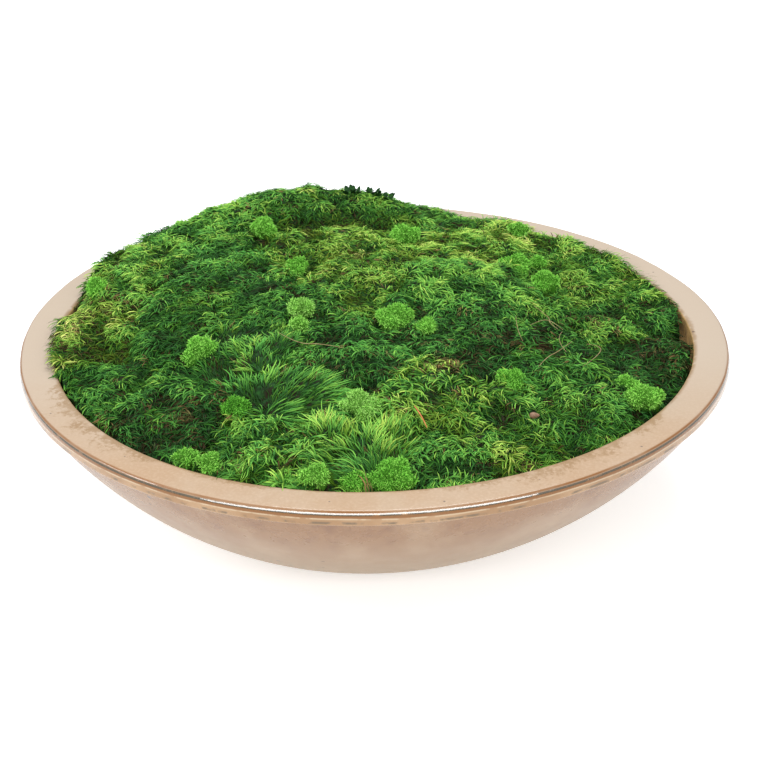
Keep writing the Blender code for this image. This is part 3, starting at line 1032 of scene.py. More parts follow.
def neighbours(values, outside, reach):
    """The array shifted by every step of a disc of that many cells, with a value for what comes in."""
    wide = np.pad(values, reach, constant_values=outside)
    rows, columns = values.shape
    for down in range(-reach, reach + 1):
        for across in range(-reach, reach + 1):
            if down * down + across * across <= reach * reach + 1:
                yield wide[reach + down : reach + down + rows, reach + across : reach + across + columns]


def highest(values, outside, reach):
    """The highest value within reach of each cell."""
    return np.maximum.reduce(list(neighbours(values, outside, reach)))


def lowest(values, outside, reach):
    """The lowest value within reach of each cell."""
    return np.minimum.reduce(list(neighbours(values, outside, reach)))


def mean_round(values, known):
    """The mean of the known cells round each cell, and whether there are any."""
    count = sum(neighbours(known.astype(float), 0.0, 1))
    total = sum(neighbours(np.where(known, values, 0.0), 0.0, 1))
    return total / np.maximum(count, 1.0), count > 0


def grown_over(heights, planted, reach):
    """Heights with every dip narrower than twice the reach, in cells, filled and softened."""
    filled = highest(np.where(planted, heights, -1.0), -1.0, reach)
    filled = lowest(np.where(planted, filled, 1.0), 1.0, reach)
    for _ in range(2):
        filled = np.where(planted, mean_round(filled, planted)[0], 0.0)
    return filled


def clump_solids():
    """The clumps' solids as one tree for ray casts, and the number of the clump that each face is of."""
    points, triangles, owners = [], [], []
    for number, name in enumerate(GROWTHS):
        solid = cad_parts[CLUMP_PREFIX + name].data
        triangles += [[len(points) + i for i in face.vertices] for face in solid.polygons]
        points += [vertex.co.copy() for vertex in solid.vertices]
        owners += [number] * len(solid.polygons)
    return BVHTree.FromPolygons(points, triangles), owners


def planting(settings):
    """The soil as a grid: its lines in x and y, the tips' heights, and the clumps' numbers, -1 outside."""
    solids, owners = clump_solids()
    half = math.ceil(GRID_REACH / settings.grain)
    line = np.arange(-half, half + 1) * settings.grain
    heights = np.zeros((len(line), len(line)))
    owner = np.full(heights.shape, -1)
    for row, y in enumerate(line):
        for column, x in enumerate(line):
            hit, _, face, _ = solids.ray_cast(Vector((x, y, 1)), DOWN)
            if face is not None:
                heights[row, column] = hit.z
                owner[row, column] = owners[face]

    def grow(where, fall):
        """Grows the planting by one cell where it may, a little lower; returns whether it grew at all."""
        mean, touched = mean_round(heights, owner >= 0)
        nearest = highest(owner, -1, 1)
        new = where & (owner < 0) & touched
        heights[new] = mean[new] - fall
        owner[new] = nearest[new]
        return new.any()

    # Where a tuft stands, its hole is closed over by what grows round it
    x_grid, y_grid = np.meshgrid(line, line)
    inside = lowest(highest(owner >= 0, False, 2), True, 2)
    for name in TUFTS:
        low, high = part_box(TUFT_PREFIX + name)
        away = np.hypot(x_grid - (low.x + high.x) / 2, y_grid - (low.y + high.y) / 2)
        hole = away < (high.x - low.x) / 2 + settings.grain
        owner[hole] = -1
        inside |= hole & (np.hypot(x_grid, y_grid) < HOLES_WITHIN)
    while grow(inside, 0.0):
        pass

    # Grown out to the bowl's wall, falling a little
    squared = np.maximum(x_grid**2 + y_grid**2, 1e-9)
    reach = np.hypot(x_grid, y_grid) / (1 - OVAL * 2 * x_grid * y_grid / squared)
    for _ in range(EDGE_CELLS):
        grow(reach < WALL_AT, EDGE_FALL)
    heights = grown_over(heights, owner >= 0, round(settings.seam / settings.grain / 2))
    return line, heights, owner


def lump_height(point, settings):
    """How high a lump stands at a place in plan, from 0 to 1."""
    wide = noise.noise(point / settings.lump_width)
    fine = noise.noise(point / settings.lump_width * 2.3 + Vector((7, 3, 1)))
    return min(1.0, max(0.0, 0.52 + 1.2 * wide + 0.5 * fine))


def eased(value, low, high):
    """0 below low, 1 above high, and a smooth step between; it falls where low is above high."""
    share = min(1.0, max(0.0, (value - low) / (high - low)))
    return share * share * (3 - 2 * share)


def bell(point, x, y, radius):
    """1 at a place in plan, fading out over a radius."""
    away = math.hypot(point.x - x, point.y - y) / radius
    return math.exp(-away * away)


def soil_mesh(number, line, heights, owner, settings):
    """One clump's share of the soil: its top from the grid, with a skirt and a bottom under it."""
    cage = bmesh.new()
    growth = cage.faces.layers.float.new("growth")
    lift = cage.verts.layers.float.new("lift")
    brown = cage.verts.layers.float.new("brown")
    made = {}

    def corner(row, column):
        if (row, column) not in made:
            flat = Vector((line[column], line[row], 0))
            # Painted light: lump tops are drawn brighter, and dips darker with painted shade
            share = lump_height(flat, settings)
            drop = settings.depth + settings.lump * (1 - share)
            for x, y, radius, depth in RELIEF.values():
                dip = depth * bell(flat, x, y, radius)
                drop += dip
                share -= dip * DIP_PAINTED_SHADE
            drop += sum(depth * bell(flat, x, y, radius) for x, y, radius, depth in LEVELS.values())
            by_wall = eased(flat.length, *FALL_OUT) * eased(heights[row, column], *FALL_HEIGHT)
            by_wall *= eased(flat.y, *FALL_FORWARD)
            flat.z = heights[row, column] - drop - settings.wall_fall * by_wall
            vertex = cage.verts.new(flat)
            vertex[lift] = min(1.2, max(0.0, share))
            vertex[brown] = sum(dead * bell(flat, x, y, radius) for x, y, radius, dead in BROWN)
            made[row, column] = vertex
        return made[row, column]

    for row in range(len(line) - 1):
        for column in range(len(line) - 1):
            ring = [(row, column), (row, column + 1), (row + 1, column + 1), (row + 1, column)]
            ring = [cell for cell in ring if owner[cell] >= 0]
            if len(ring) >= 3 and owner[ring[0]] == number:
                face = cage.faces.new([corner(*cell) for cell in ring])
                face[growth] = 1.0
    feet = {}
    sides = []
    for edge in [edge for edge in cage.edges if edge.is_boundary]:
        first, second = edge.link_loops[0].vert, edge.link_loops[0].link_loop_next.vert
        for vertex in (first, second):
            if vertex not in feet:
                low = min(vertex.co.z - SKIRT_DEPTH, SKIRT_FOOT)
                foot = cage.verts.new((vertex.co.x, vertex.co.y, low))
                # The skirt gets a fixed share of painted light
                foot[lift] = SKIRT_PAINTED_LIGHT
                foot[brown] = vertex[brown]
                feet[vertex] = foot
        sides.append(cage.faces.new((second, first, feet[first], feet[second])))
    open_edges = [edge for edge in cage.edges if edge.is_boundary]
    for face in bmesh.ops.holes_fill(cage, edges=open_edges, sides=0)["faces"]:
        face[growth] = 0.0
    bmesh.ops.recalc_face_normals(cage, faces=cage.faces)

    # Moss hangs down the outer side wherever that shows over the rim
    for face in sides:
        middle = face.calc_center_median()
        outward = face.normal.x * middle.x + face.normal.y * middle.y > 0.3 * middle.xy.length
        over_rim = max(vertex.co.z for vertex in face.verts) > RIM_TOP + 0.003
        face[growth] = HANGING if outward and over_rim and middle.xy.length > HANGING_FROM else 0.0
    return finished(cage, "soil")


CUSHION_INPUTS = (
    ("Shoots", "Collection"),
    ("Spacing", "Float"),
    ("Heading", "Float"),
    ("Lean", "Float"),
    ("Length", "Float"),
    ("Tint", "Float"),
    ("Vigour", "Float"),
    ("Fan", "Float"),
    ("Fan centre", "Vector"),
    ("Downhill", "Float"),
    ("Swirl", "Float"),
    ("Scatter", "Float"),
    ("Seed", "Int"),
    ("Material", "Material"),
)


# The plants' colour map, and which output of a Random Value node gives which kind of value
COLOUR_MAP = "OFBake"
RANDOM_OUTPUTS = {"FLOAT_VECTOR": 0, "FLOAT": 1, "INT": 2}


def random_value(tree, low, high, seed, stream, kind="FLOAT"):
    """A random number or vector for each point."""
    inputs = {"Min": low, "Max": high, "Seed": plus(tree, seed, stream)}
    return add(tree, "FunctionNodeRandomValue", {"data_type": kind}, inputs).outputs[RANDOM_OUTPUTS[kind]]


def stored(tree, geometry, name, value, domain, kind="FLOAT"):
    """Geometry with a named attribute stored on it."""
    settings = {"data_type": kind, "domain": domain}
    inputs = {"Geometry": geometry, "Name": name, "Value": value}
    return add(tree, "GeometryNodeStoreNamedAttribute", settings, inputs).outputs[0]


def read(tree, name):
    """A named float attribute's value."""
    made = add(tree, "GeometryNodeInputNamedAttribute", {"data_type": "FLOAT"}, {"Name": name})
    return next(s for s in made.outputs if s.enabled and s.name == "Attribute")


def tree_end(tree, instances, core, material, spread):
    """Joins the plants to their core, makes them real, and gives them their colour map and material."""
    joined = add(tree, "GeometryNodeJoinGeometry")
    for part in (core, instances):
        tree.links.new(part, joined.inputs[0])
    real = add(tree, "GeometryNodeRealizeInstances", inputs={"Geometry": joined}).outputs[0]
    own = times(tree, less(tree, read(tree, "leaf"), 0.5), spread)
    shade = add(tree, "ShaderNodeClamp", inputs={"Value": plus(tree, read(tree, "tint"), own)})

    # Painted light: each leaf is drawn a little brighter or dimmer, and the map's second axis is the place
    # along a leaf times this and the painted shade of the dips
    leaf_painted_light = maths(tree, "FRACT", times(tree, read(tree, "leaf"), 17.0))
    leaf_painted_light = plus(tree, 0.70, times(tree, leaf_painted_light, 0.30))
    painted_shade_along = times(tree, times(tree, read(tree, "along"), read(tree, "vigour")), leaf_painted_light)
    map_place = add(tree, "ShaderNodeCombineXYZ", inputs={0: shade, 1: painted_shade_along}).outputs[0]
    mapped = stored(tree, real, COLOUR_MAP, map_place, "CORNER", "FLOAT2")
    dressed = add(tree, "GeometryNodeSetMaterial", inputs={"Geometry": mapped, "Material": material})
    tree.links.new(dressed.outputs[0], tree.nodes.new("NodeGroupOutput").inputs[0])


def scaled(tree, vector, share):
    """A vector times a number."""
    return add(tree, "ShaderNodeVectorMath", {"operation": "SCALE"}, {0: vector, "Scale": share}).outputs[0]


def turned(tree, vector, angle):
    """A vector turned about the upright axis."""
    inputs = {"Vector": vector, "Angle": angle}
    return add(tree, "ShaderNodeVectorRotate", {"rotation_type": "Z_AXIS"}, inputs).outputs[0]


def rooted_points(tree, given, thickest):
    """Points over the given mesh where it is to grow, no closer than its spacing."""
    inputs = {"Mesh": given["Geometry"], "Distance Min": given["Spacing"], "Density Max": thickest}
    inputs.update({"Density Factor": read(tree, "growth"), "Seed": given["Seed"]})
    method = {"distribute_method": "POISSON"}
    return add(tree, "GeometryNodeDistributePointsOnFaces", method, inputs).outputs


def grown_on(tree, points, shapes, kinds, seed, rotation, scale):
    """One of the shapes, picked by chance, on each point."""
    inputs = {"Collection": shapes, "Separate Children": True, "Reset Children": True}
    shape = add(tree, "GeometryNodeCollectionInfo", inputs=inputs)
    pick = random_value(tree, 0, kinds - 1, seed, 3, "INT")
    inputs = {"Points": points["Points"], "Instance": shape, "Pick Instance": True, "Instance Index": pick}
    inputs.update({"Rotation": rotation, "Scale": scale})
    return add(tree, "GeometryNodeInstanceOnPoints", inputs=inputs).outputs[0]


def cushion_tree():
    """Geometry Nodes that set shoots over a clump's soil, combed its own way and down its lumps."""
    tree, start = geometry_tree("Cushion moss", CUSHION_INPUTS)
    given = start.outputs
    seed = given["Seed"]
    points = rooted_points(tree, given, 250000.0)
    normal = points["Normal"]
    position = add(tree, "GeometryNodeInputPosition").outputs[0]
    flat = (1.0, 1.0, 0.0)

    # The clump's own flow, along a heading or out of a fan, that wanders and then runs down the lumps
    angles = {0: maths(tree, "COSINE", given["Heading"]), 1: maths(tree, "SINE", given["Heading"])}
    along = add(tree, "ShaderNodeCombineXYZ", inputs=angles).outputs[0]
    from_fan = vector_maths(tree, "SUBTRACT", position, given["Fan centre"])
    away = vector_maths(tree, "MULTIPLY", from_fan, flat)
    flow = mixed_vector(tree, given["Fan"], along, vector_maths(tree, "NORMALIZE", away))
    drift = times(tree, less(tree, noise_of(tree, position, 26.0, 2.0), 0.5), 5.0)
    locks = times(tree, less(tree, noise_of(tree, position, 95.0, 1.0), 0.5), 4.0)
    flow = turned(tree, flow, times(tree, plus(tree, drift, locks), given["Swirl"]))
    downhill = scaled(tree, vector_maths(tree, "MULTIPLY", normal, flat), given["Downhill"])
    heading = vector_maths(tree, "ADD", flow, downhill)

    # Below the rim the shoots turn in from the wall; above it they hang over
    level = vector_maths(tree, "MULTIPLY", position, flat)
    height = add(tree, "ShaderNodeSeparateXYZ", inputs={"Vector": position}).outputs[2]
    by_wall = rise(tree, measure(tree, "LENGTH", level), 0.244, 0.264)
    walled = times(tree, by_wall, rise(tree, height, 0.166, 0.152))
    outward = vector_maths(tree, "NORMALIZE", level)
    facing = maths(tree, "MAXIMUM", measure(tree, "DOT_PRODUCT", heading, outward), 0.0)
    turned_in = plus(tree, times(tree, facing, 1.2), 0.25)
    inward = scaled(tree, outward, times(tree, times(tree, walled, turned_in), -1.0))
    heading = vector_maths(tree, "ADD", heading, inward)
    own = times(tree, random_value(tree, -1.0, 1.0, seed, 1), given["Scatter"])
    heading = vector_maths(tree, "NORMALIZE", turned(tree, heading, own))

    # Each shoot leans that way out of the soil, less so by the wall
    lean = times(tree, given["Lean"], random_value(tree, 0.3, 1.3, seed, 2))
    lean = times(tree, lean, less(tree, 1.0, times(tree, walled, 0.7)))
    upright = vector_maths(tree, "NORMALIZE", mixed_vector(tree, 0.4, normal, (0.0, 0.0, 1.0)))
    stem = scaled(tree, upright, maths(tree, "COSINE", lean))
    stem = vector_maths(tree, "ADD", stem, scaled(tree, heading, maths(tree, "SINE", lean)))
    stood = add(tree, "FunctionNodeAlignRotationToVector", {"axis": "Z"}, {"Vector": stem})
    axes = {"axis": "X", "pivot_axis": "Z"}
    swept = add(tree, "FunctionNodeAlignRotationToVector", axes, {"Rotation": stood, "Vector": heading})
    size = times(tree, given["Length"], random_value(tree, 0.8, 1.2, seed, 4))
    grown = grown_on(tree, points, given["Shoots"], SHOOT_KINDS, seed, swept, size)

    # Tints drift in patches, and a few shoots are dead, more of them where the painted light is low; shoots
    # in the dips are dimmed with painted shade
    patch = times(tree, less(tree, noise_of(tree, position, 42.0, 2.0), 0.5), 0.9)
    tint = plus(tree, given["Tint"], plus(tree, patch, random_value(tree, -0.08, 0.08, seed, 5)))
    dead = plus(tree, 0.02, times(tree, rise(tree, read(tree, "lift"), 0.5, -0.2), 0.20))
    dead = plus(tree, dead, read(tree, "brown"))
    alive = maths(tree, "GREATER_THAN", random_value(tree, 0.0, 1.0, seed, 6), dead)
    tint = add(tree, "ShaderNodeClamp", inputs={"Value": tint, "Min": 0.16})
    tinted = stored(tree, grown, "tint", times(tree, tint, alive), "INSTANCE")
    vigour = plus(tree, 0.12, times(tree, read(tree, "lift"), 1.16))
    tinted = stored(tree, tinted, "vigour", times(tree, vigour, given["Vigour"]), "INSTANCE")

    # The soil is mottled, dark green and brown, and darkened further by the painted shade of the moss's
    # roots
    mottle = rise(tree, noise_of(tree, position, 290.0, 3.0), 0.36, 0.66)
    core = stored(tree, given["Geometry"], "tint", plus(tree, 0.23, times(tree, mottle, 0.20)), "POINT")
    core = stored(tree, core, "vigour", 1.0, "POINT")
    core = stored(tree, core, "along", times(tree, mottle, 0.62), "POINT")
    tree_end(tree, tinted, core, given["Material"], 0.28)
    return tree


def map_axes(tree):
    """The two axes of a plant's colour map."""
    uv = add(tree, "ShaderNodeUVMap", {"uv_map": COLOUR_MAP})
    return add(tree, "ShaderNodeSeparateXYZ", inputs={"Vector": uv}).outputs[:2]


def cushion_green():
    """Moss from stems to bright tips, with painted shade towards the roots and in the dips. Its map's axes
    are the tint and the place along a leaf times its painted light.
    """
    made, tree, surface = new_material("cushion_moss", 0.6, specular_ior_level=0.10)
    tint, along = map_axes(tree)
    greens = ramp(tree, tint, CUSHION_GREENS)
    tips = ramp(tree, tint, CUSHION_TIPS)
    colour = mix(tree, rise(tree, along, 0.30, 0.95), greens, tips)
    # Painted shade: darker towards the roots, deep in the moss, and brighter at the tips
    colour = mix(tree, 1.0, colour, ramp(tree, along, CUSHION_PAINTED_SHADE), "MULTIPLY")
    tree.links.new(colour, surface.inputs["Base Color"])
    return made


class MOSSBOWL_OT_cushion_moss(bpy.types.Operator):
    """Grow the clumps of cushion moss"""

    bl_idname = "mossbowl.cushion_moss"
    bl_label = "Cushion moss"

    def execute(self, context):
        settings = context.scene.moss_bowl_cushion
        short = variants("moss_shoot", [shoot_mesh(settings, i, False) for i in range(SHOOT_KINDS)])
        long = variants("combed_shoot", [shoot_mesh(settings, 50 + i, True) for i in range(SHOOT_KINDS)])
        tree = cushion_tree()
        finish = cushion_green()
        line, heights, owner = planting(settings)
        for number, (name, growth) in enumerate(GROWTHS.items()):
            combed = growth.fan is not None
            values = {
                "Shoots": long if combed else short,
                "Spacing": settings.spacing,
                "Heading": math.radians(growth.heading),
                "Lean": math.radians(growth.lean),
                "Length": growth.length,
                "Tint": growth.tint,
                "Vigour": growth.vigour,
                "Fan": 0.85 if combed else 0.0,
                "Fan centre": (*(growth.fan or (0.0, 0.0)), 0.0),
                "Downhill": 0.3 if combed else 1.1,
                "Swirl": settings.swirl * (0.4 if combed else 1.0),
                "Scatter": settings.scatter * (0.25 if combed else 1.0),
                "Seed": settings.seed + 10 * number,
                "Material": finish,
            }
            mesh = applied(soil_mesh(number, line, heights, owner, settings), tree, values)
            place_piece("moss_" + name, mesh, "cushion_moss", CLUMP_PREFIX + name)
        return {"FINISHED"}


# Reindeer moss


def sprig_mesh(settings, number):
    """A sprig of reindeer moss: short curled branches that spread from one point."""
    rng = random.Random(settings.seed * 100 + number)
    cage = bmesh.new()
    layers = (cage.verts.layers.float.new("along"), cage.verts.layers.float.new("leaf"))
    height = settings.sprig_height
    for arm in range(SPRIG_ARMS):
        turn = arm * math.tau / SPRIG_ARMS + rng.uniform(-0.5, 0.5)
        out = Vector((math.cos(turn), math.sin(turn), 0))
        aside = Vector((-math.sin(turn), math.cos(turn), 0)) * rng.uniform(-0.5, 0.5)
        rising = rng.uniform(0.5, 1.0)
        points = [Vector((0, 0, 0))]
        points.append((out * (1 - 0.5 * rising) + Vector((0, 0, rising))) * height * 0.5)
        ending = out * 0.6 + aside + Vector((0, 0, rng.uniform(-0.3, 0.5)))
        points.append(points[1] + ending * height * 0.45)
        strand(cage, layers, points, settings.sprig_width, rng.random(), rng.uniform(-1.5, 1.5))
    return finished(cage, f"sprig_{number}", smooth=False)


REINDEER_INPUTS = (
    ("Sprigs", "Collection"),
    ("Spacing", "Float"),
    ("Tint", "Float"),
    ("Seed", "Int"),
    ("Material", "Material"),
)


def reindeer_tree():
    """Geometry Nodes that cover a ball with forked sprigs."""
    tree, start = geometry_tree("Reindeer moss", REINDEER_INPUTS)
    given = start.outputs
    seed = given["Seed"]
    points = rooted_points(tree, given, 600000.0)
    aside = random_value(tree, (-0.75, -0.75, -0.75), (0.75, 0.75, 0.75), seed, 1, "FLOAT_VECTOR")
    out = vector_maths(tree, "ADD", points["Normal"], aside)
    stood = add(tree, "FunctionNodeAlignRotationToVector", {"axis": "Z"}, {"Vector": out})
    spin = add(tree, "ShaderNodeCombineXYZ", inputs={2: random_value(tree, 0.0, 6.28, seed, 2)})
    turns = {"Rotation": stood, "Rotate By": spin}
    spun = add(tree, "FunctionNodeRotateRotation", {"rotation_space": "LOCAL"}, turns)
    size = random_value(tree, 0.7, 1.15, seed, 4)
    grown = grown_on(tree, points, given["Sprigs"], SPRIG_KINDS, seed, spun, size)
    tint = plus(tree, given["Tint"], random_value(tree, -0.12, 0.12, seed, 5))
    tinted = stored(tree, grown, "tint", tint, "INSTANCE")
    # Painted shade: sprigs in the creases between the lumps are drawn dimmer
    vigour = plus(tree, 0.62, times(tree, read(tree, "lift"), 0.66))
    tinted = stored(tree, tinted, "vigour", vigour, "INSTANCE")
    # The heart has no place along a leaf, so it gets the darkest painted shade
    core = stored(tree, given["Geometry"], "tint", given["Tint"], "POINT")
    tree_end(tree, tinted, core, given["Material"], 0.10)
    return tree


def tuft_core(name, settings):
    """The lumpy cushion inside a tuft: a few balls grown together, drawn down to a stalk below."""
    tuft = TUFTS[name]
    low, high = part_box(TUFT_PREFIX + name)
    radius = (high.x - low.x + high.y - low.y) / 4
    ball = radius * tuft.size - 0.45 * settings.sprig_height
    centre = Vector(((low.x + high.x) / 2, (low.y + high.y) / 2, high.z - 0.86 * radius))
    centre += Vector(tuft.shift)
    rng = random.Random(name)
    start = rng.uniform(0, math.tau)
    lumps = []
    for number in range(LUMPS_ROUND):
        turn = start + number * math.tau / LUMPS_ROUND + rng.uniform(-0.5, 0.5)
        away = rng.uniform(0.42, 0.80) * ball
        size = rng.uniform(0.24, 0.46) * ball
        offset = (math.cos(turn) * away * 1.12, math.sin(turn) * away, rng.uniform(-0.30, 0.12) * ball)
        lumps.append((Vector(offset), size))
    middle = Vector((rng.uniform(-0.15, 0.15) * ball, 0, 0.05 * ball))
    lumps.append((middle, rng.uniform(0.50, 0.64) * ball))
    behind = Vector((rng.uniform(-0.3, 0.3) * ball, 0.2 * ball, 0.18 * ball))
    lumps.append((behind, rng.uniform(0.34, 0.50) * ball))
    cage = bmesh.new()
    bmesh.ops.create_icosphere(cage, subdivisions=4, radius=1)
    growth = cage.verts.layers.float.new("growth")
    lift = cage.verts.layers.float.new("lift")
    for vertex in cage.verts:
        direction = vertex.co.copy()
        reach = 0.0
        for middle, size in lumps:
            nearest = direction.dot(middle)
            inside = size * size - middle.length_squared + nearest * nearest
            if inside > 0:
                reach = max(reach, nearest + math.sqrt(inside))
        point = direction * reach * (1 + 0.26 * noise.noise(direction * 3.4 + centre * 70))
        # Painted shade: the tuft is drawn darker in the creases between its lumps
        vertex[lift] = eased(point.length / ball, 0.45, 0.95)
        vertex[growth] = 1.0 if direction.z > -0.35 else 0.0
        if direction.z < -WAIST:
            stalk = centre.z - low.z - WAIST * ball
            point.z = -WAIST * ball + (direction.z + WAIST) * stalk / (1 - WAIST)
        vertex.co = centre + point
    return finished(cage, name + "_core")


def reindeer_green():
    """Reindeer moss: bright green sprigs, with painted shade that darkens them towards their roots and the
    heart under them.
    """
    made, tree, surface = new_material("reindeer_moss", 0.75, specular_ior_level=0.10)
    tint, along = map_axes(tree)
    greens = ramp(tree, tint, REINDEER_GREENS)
    colour = mix(tree, 1.0, greens, ramp(tree, along, REINDEER_PAINTED_SHADE), "MULTIPLY")
    tree.links.new(colour, surface.inputs["Base Color"])
    return made


class MOSSBOWL_OT_reindeer_moss(bpy.types.Operator):
    """Branch the tufts of reindeer moss"""

    bl_idname = "mossbowl.reindeer_moss"
    bl_label = "Reindeer moss"

    def execute(self, context):
        settings = context.scene.moss_bowl_reindeer
        sprigs = variants("reindeer_sprig", [sprig_mesh(settings, i) for i in range(SPRIG_KINDS)])
        tree = reindeer_tree()
        finish = reindeer_green()
        for number, (name, tuft) in enumerate(TUFTS.items()):
            values = {"Sprigs": sprigs, "Spacing": settings.spacing, "Tint": tuft.tint}
            values.update({"Seed": settings.seed + 10 * number, "Material": finish})
            mesh = applied(tuft_core(name, settings), tree, values)
            place_piece("tuft_" + name, mesh, "reindeer_moss", TUFT_PREFIX + name)
        return {"FINISHED"}


# Loose bits

# In plan, the points that the fallen needle, the stems and the seed lie on; and where dry leaves stand on
# the ridge, with how far their roots are from the solids' tops
NEEDLE = ((0.032, -0.179), (0.037, -0.186), (0.041, -0.196))
STEMS = (
    ((0.140, 0.004), (0.152, -0.018), (0.148, -0.036), (0.155, -0.048)),
    ((0.158, -0.052), (0.150, -0.068), (0.157, -0.090)),
    ((-0.074, -0.082), (-0.058, -0.097), (-0.040, -0.098), (-0.022, -0.110)),
    ((0.176, -0.071), (0.190, -0.058), (0.185, -0.087), (0.168, -0.112)),
    ((0.164, -0.069), (0.151, -0.090), (0.140, -0.101), (0.132, -0.116)),
    ((0.132, -0.048), (0.143, -0.030), (0.152, -0.030), (0.159, -0.048)),
    ((0.121, -0.036), (0.119, -0.058), (0.123, -0.079)),
)
SEED = (0.123, -0.182)
LEAVES = (
    (-0.021, 0.238, -0.0045),
    (-0.017, 0.240, -0.0045),
    (-0.012, 0.239, -0.0045),
    (0.001, 0.238, -0.0020),
    (0.005, 0.240, -0.0020),
    (0.009, 0.238, -0.0025),
    (0.016, 0.239, -0.0030),
    (0.019, 0.238, -0.0030),
)
LEAVES_PER_PLACE = 5

# A leaf's half-widths from foot to tip, with their places along it, as shares of its length
LEAF_WIDTHS = ((0.0, 0.10), (0.3, 0.32), (0.6, 0.36), (0.85, 0.20), (1.0, 0.03))

# Steps to the places round a point whose highest moss carries what lies there
LIE_ROUND = (-0.004, 0, 0.004)


def bits_finish(name, first, second, scale, shine=0.5):
    """A dull finish mottled between two colours."""
    made, tree, surface = new_material(name, 0.6, specular_ior_level=shine)
    coords = add(tree, "ShaderNodeTexCoord").outputs["Object"]
    colour = mix(tree, rise(tree, noise_of(tree, coords, scale), 0.38, 0.62), first, second)
    tree.links.new(colour, surface.inputs["Base Color"])
    return made


def laid_on(solids, places, radius):
    """Points of a thin thing that lies on the moss over these places in plan."""
    points = []
    for x, y in places:
        around = [(x + across, y + along) for across in LIE_ROUND for along in LIE_ROUND]
        tops = [solids.ray_cast(Vector((*spot, 1)), DOWN)[0] for spot in around]
        points.append(Vector((x, y, max(top.z for top in tops if top) + radius)))
    return points


def rod_mesh(points, radius):
    """A thin round rod that bends through the points and thins to its ends."""
    line = bpy.data.curves.new("rod", "CURVE")
    line.dimensions = "3D"
    line.bevel_depth = radius
    line.bevel_resolution = 2
    line.use_fill_caps = True
    spline = line.splines.new("NURBS")
    spline.points.add(len(points) - 1)
    spline.order_u = 3
    spline.use_endpoint_u = True
    for knot, point in zip(spline.points, points):
        knot.co = (*point, 1.0)
        knot.radius = 1.0
    spline.points[0].radius = 0.5
    spline.points[-1].radius = 0.5
    guide = bpy.data.objects.new("rod", line)
    mesh = bpy.data.meshes.new_from_object(guide)
    bpy.data.objects.remove(guide)
    mesh.shade_smooth()
    return mesh


def seed_mesh(middle, length):
    """A plump pointed seed that lies on its side."""
    cage = bmesh.new()
    bmesh.ops.create_icosphere(cage, subdivisions=3, radius=length / 2)
    for vertex in cage.verts:
        share = vertex.co.x / (length / 2)
        slim = 0.58 * (1 - 0.35 * share) * (1 + 0.12 * noise.noise(vertex.co * 700))
        vertex.co.y *= slim
        vertex.co.z *= slim
        vertex.co += middle
    return finished(cage, "seed")


def leaves_mesh(solids, settings):
    """Small crisp leaves that stand up out of the moss in a few places, each a cupped blade."""
    rng = random.Random(5)
    cage = bmesh.new()
    length = settings.leaf_length
    for x, y, raised in LEAVES:
        root = laid_on(solids, [(x, y)], raised)[0]
        for _ in range(LEAVES_PER_PLACE):
            turn = rng.uniform(0, math.tau)
            out = Vector((math.cos(turn), math.sin(turn), 0))
            side = Vector((-out.y, out.x, 0))
            foot = root + out * rng.uniform(0, 0.3) * length
            tall = rng.uniform(0.45, 1.0) * length
            sway = side * rng.uniform(-0.5, 0.5)
            rows = []
            for share, half in LEAF_WIDTHS:
                spine = foot + ((out * 0.7 + sway * share + Vector((0, 0, 0.8))) * share) * tall
                cup = Vector((0, 0, rng.uniform(0.0, 0.5) * tall * half))
                ruffle = (side + out) * rng.uniform(-0.12, 0.12) * tall
                reach = side * half * tall
                rows.append([spine - reach + cup, spine + ruffle, spine + reach + cup])
            rows = [[cage.verts.new(point) for point in row] for row in rows]
            for lower, upper in zip(rows, rows[1:]):
                for left in range(2):
                    cage.faces.new((lower[left], lower[left + 1], upper[left + 1], upper[left]))
    return finished(cage, "leaves")


class MOSSBOWL_OT_loose_bits(bpy.types.Operator):
    """Lay the needle, the dry stems, the seed and the leaves on the moss"""

    bl_idname = "mossbowl.loose_bits"
    bl_label = "Loose bits"

    def execute(self, context):
        settings = context.scene.moss_bowl_bits
        solids, _ = clump_solids()
        finish = bits_finish("needle", (0.62, 0.22, 0.06), (0.50, 0.15, 0.04), 300.0)
        points = laid_on(solids, NEEDLE, settings.needle_radius)
        self.lay("needle", rod_mesh(points, settings.needle_radius), finish)
        finish = bits_finish("dry_stem", (0.34, 0.27, 0.12), (0.22, 0.16, 0.06), 200.0)
        for number, places in enumerate(STEMS):
            points = laid_on(solids, places, settings.stem_radius)
            self.lay(f"stem_{number}", rod_mesh(points, settings.stem_radius), finish)
        finish = bits_finish("seed", (0.26, 0.15, 0.09), (0.16, 0.09, 0.05), 500.0)
        middle = laid_on(solids, [SEED], settings.seed_length / 5)[0]
        self.lay("seed", seed_mesh(middle, settings.seed_length), finish)
        finish = bits_finish("dry_leaf", (0.008, 0.034, 0.009), (0.020, 0.080, 0.014), 400.0, 0.12)
        self.lay("leaves", leaves_mesh(solids, settings), finish)
        return {"FINISHED"}

    def lay(self, name, mesh, finish):
        """Places a bit with its finish."""
        mesh.materials.append(finish)
        place_piece(name, mesh)


# The stage

WHITE = (1.0, 1.0, 1.0, 1.0)
SKY_STRENGTH = 0.62

# How far the floor reaches from the middle
FLOOR_REACH = 60

# Lamps: name, place, width, depth and power
LAMPS = (
    ("overhead", (0.15, 0.45, 1.8), 1.1, 0.8, 24.0),
    ("left", (-1.5, -0.3, 1.3), 0.6, 0.9, 9.0),
    ("strip", (0.0, -1.55, 1.02), 3.4, 0.32, 21.0),
)


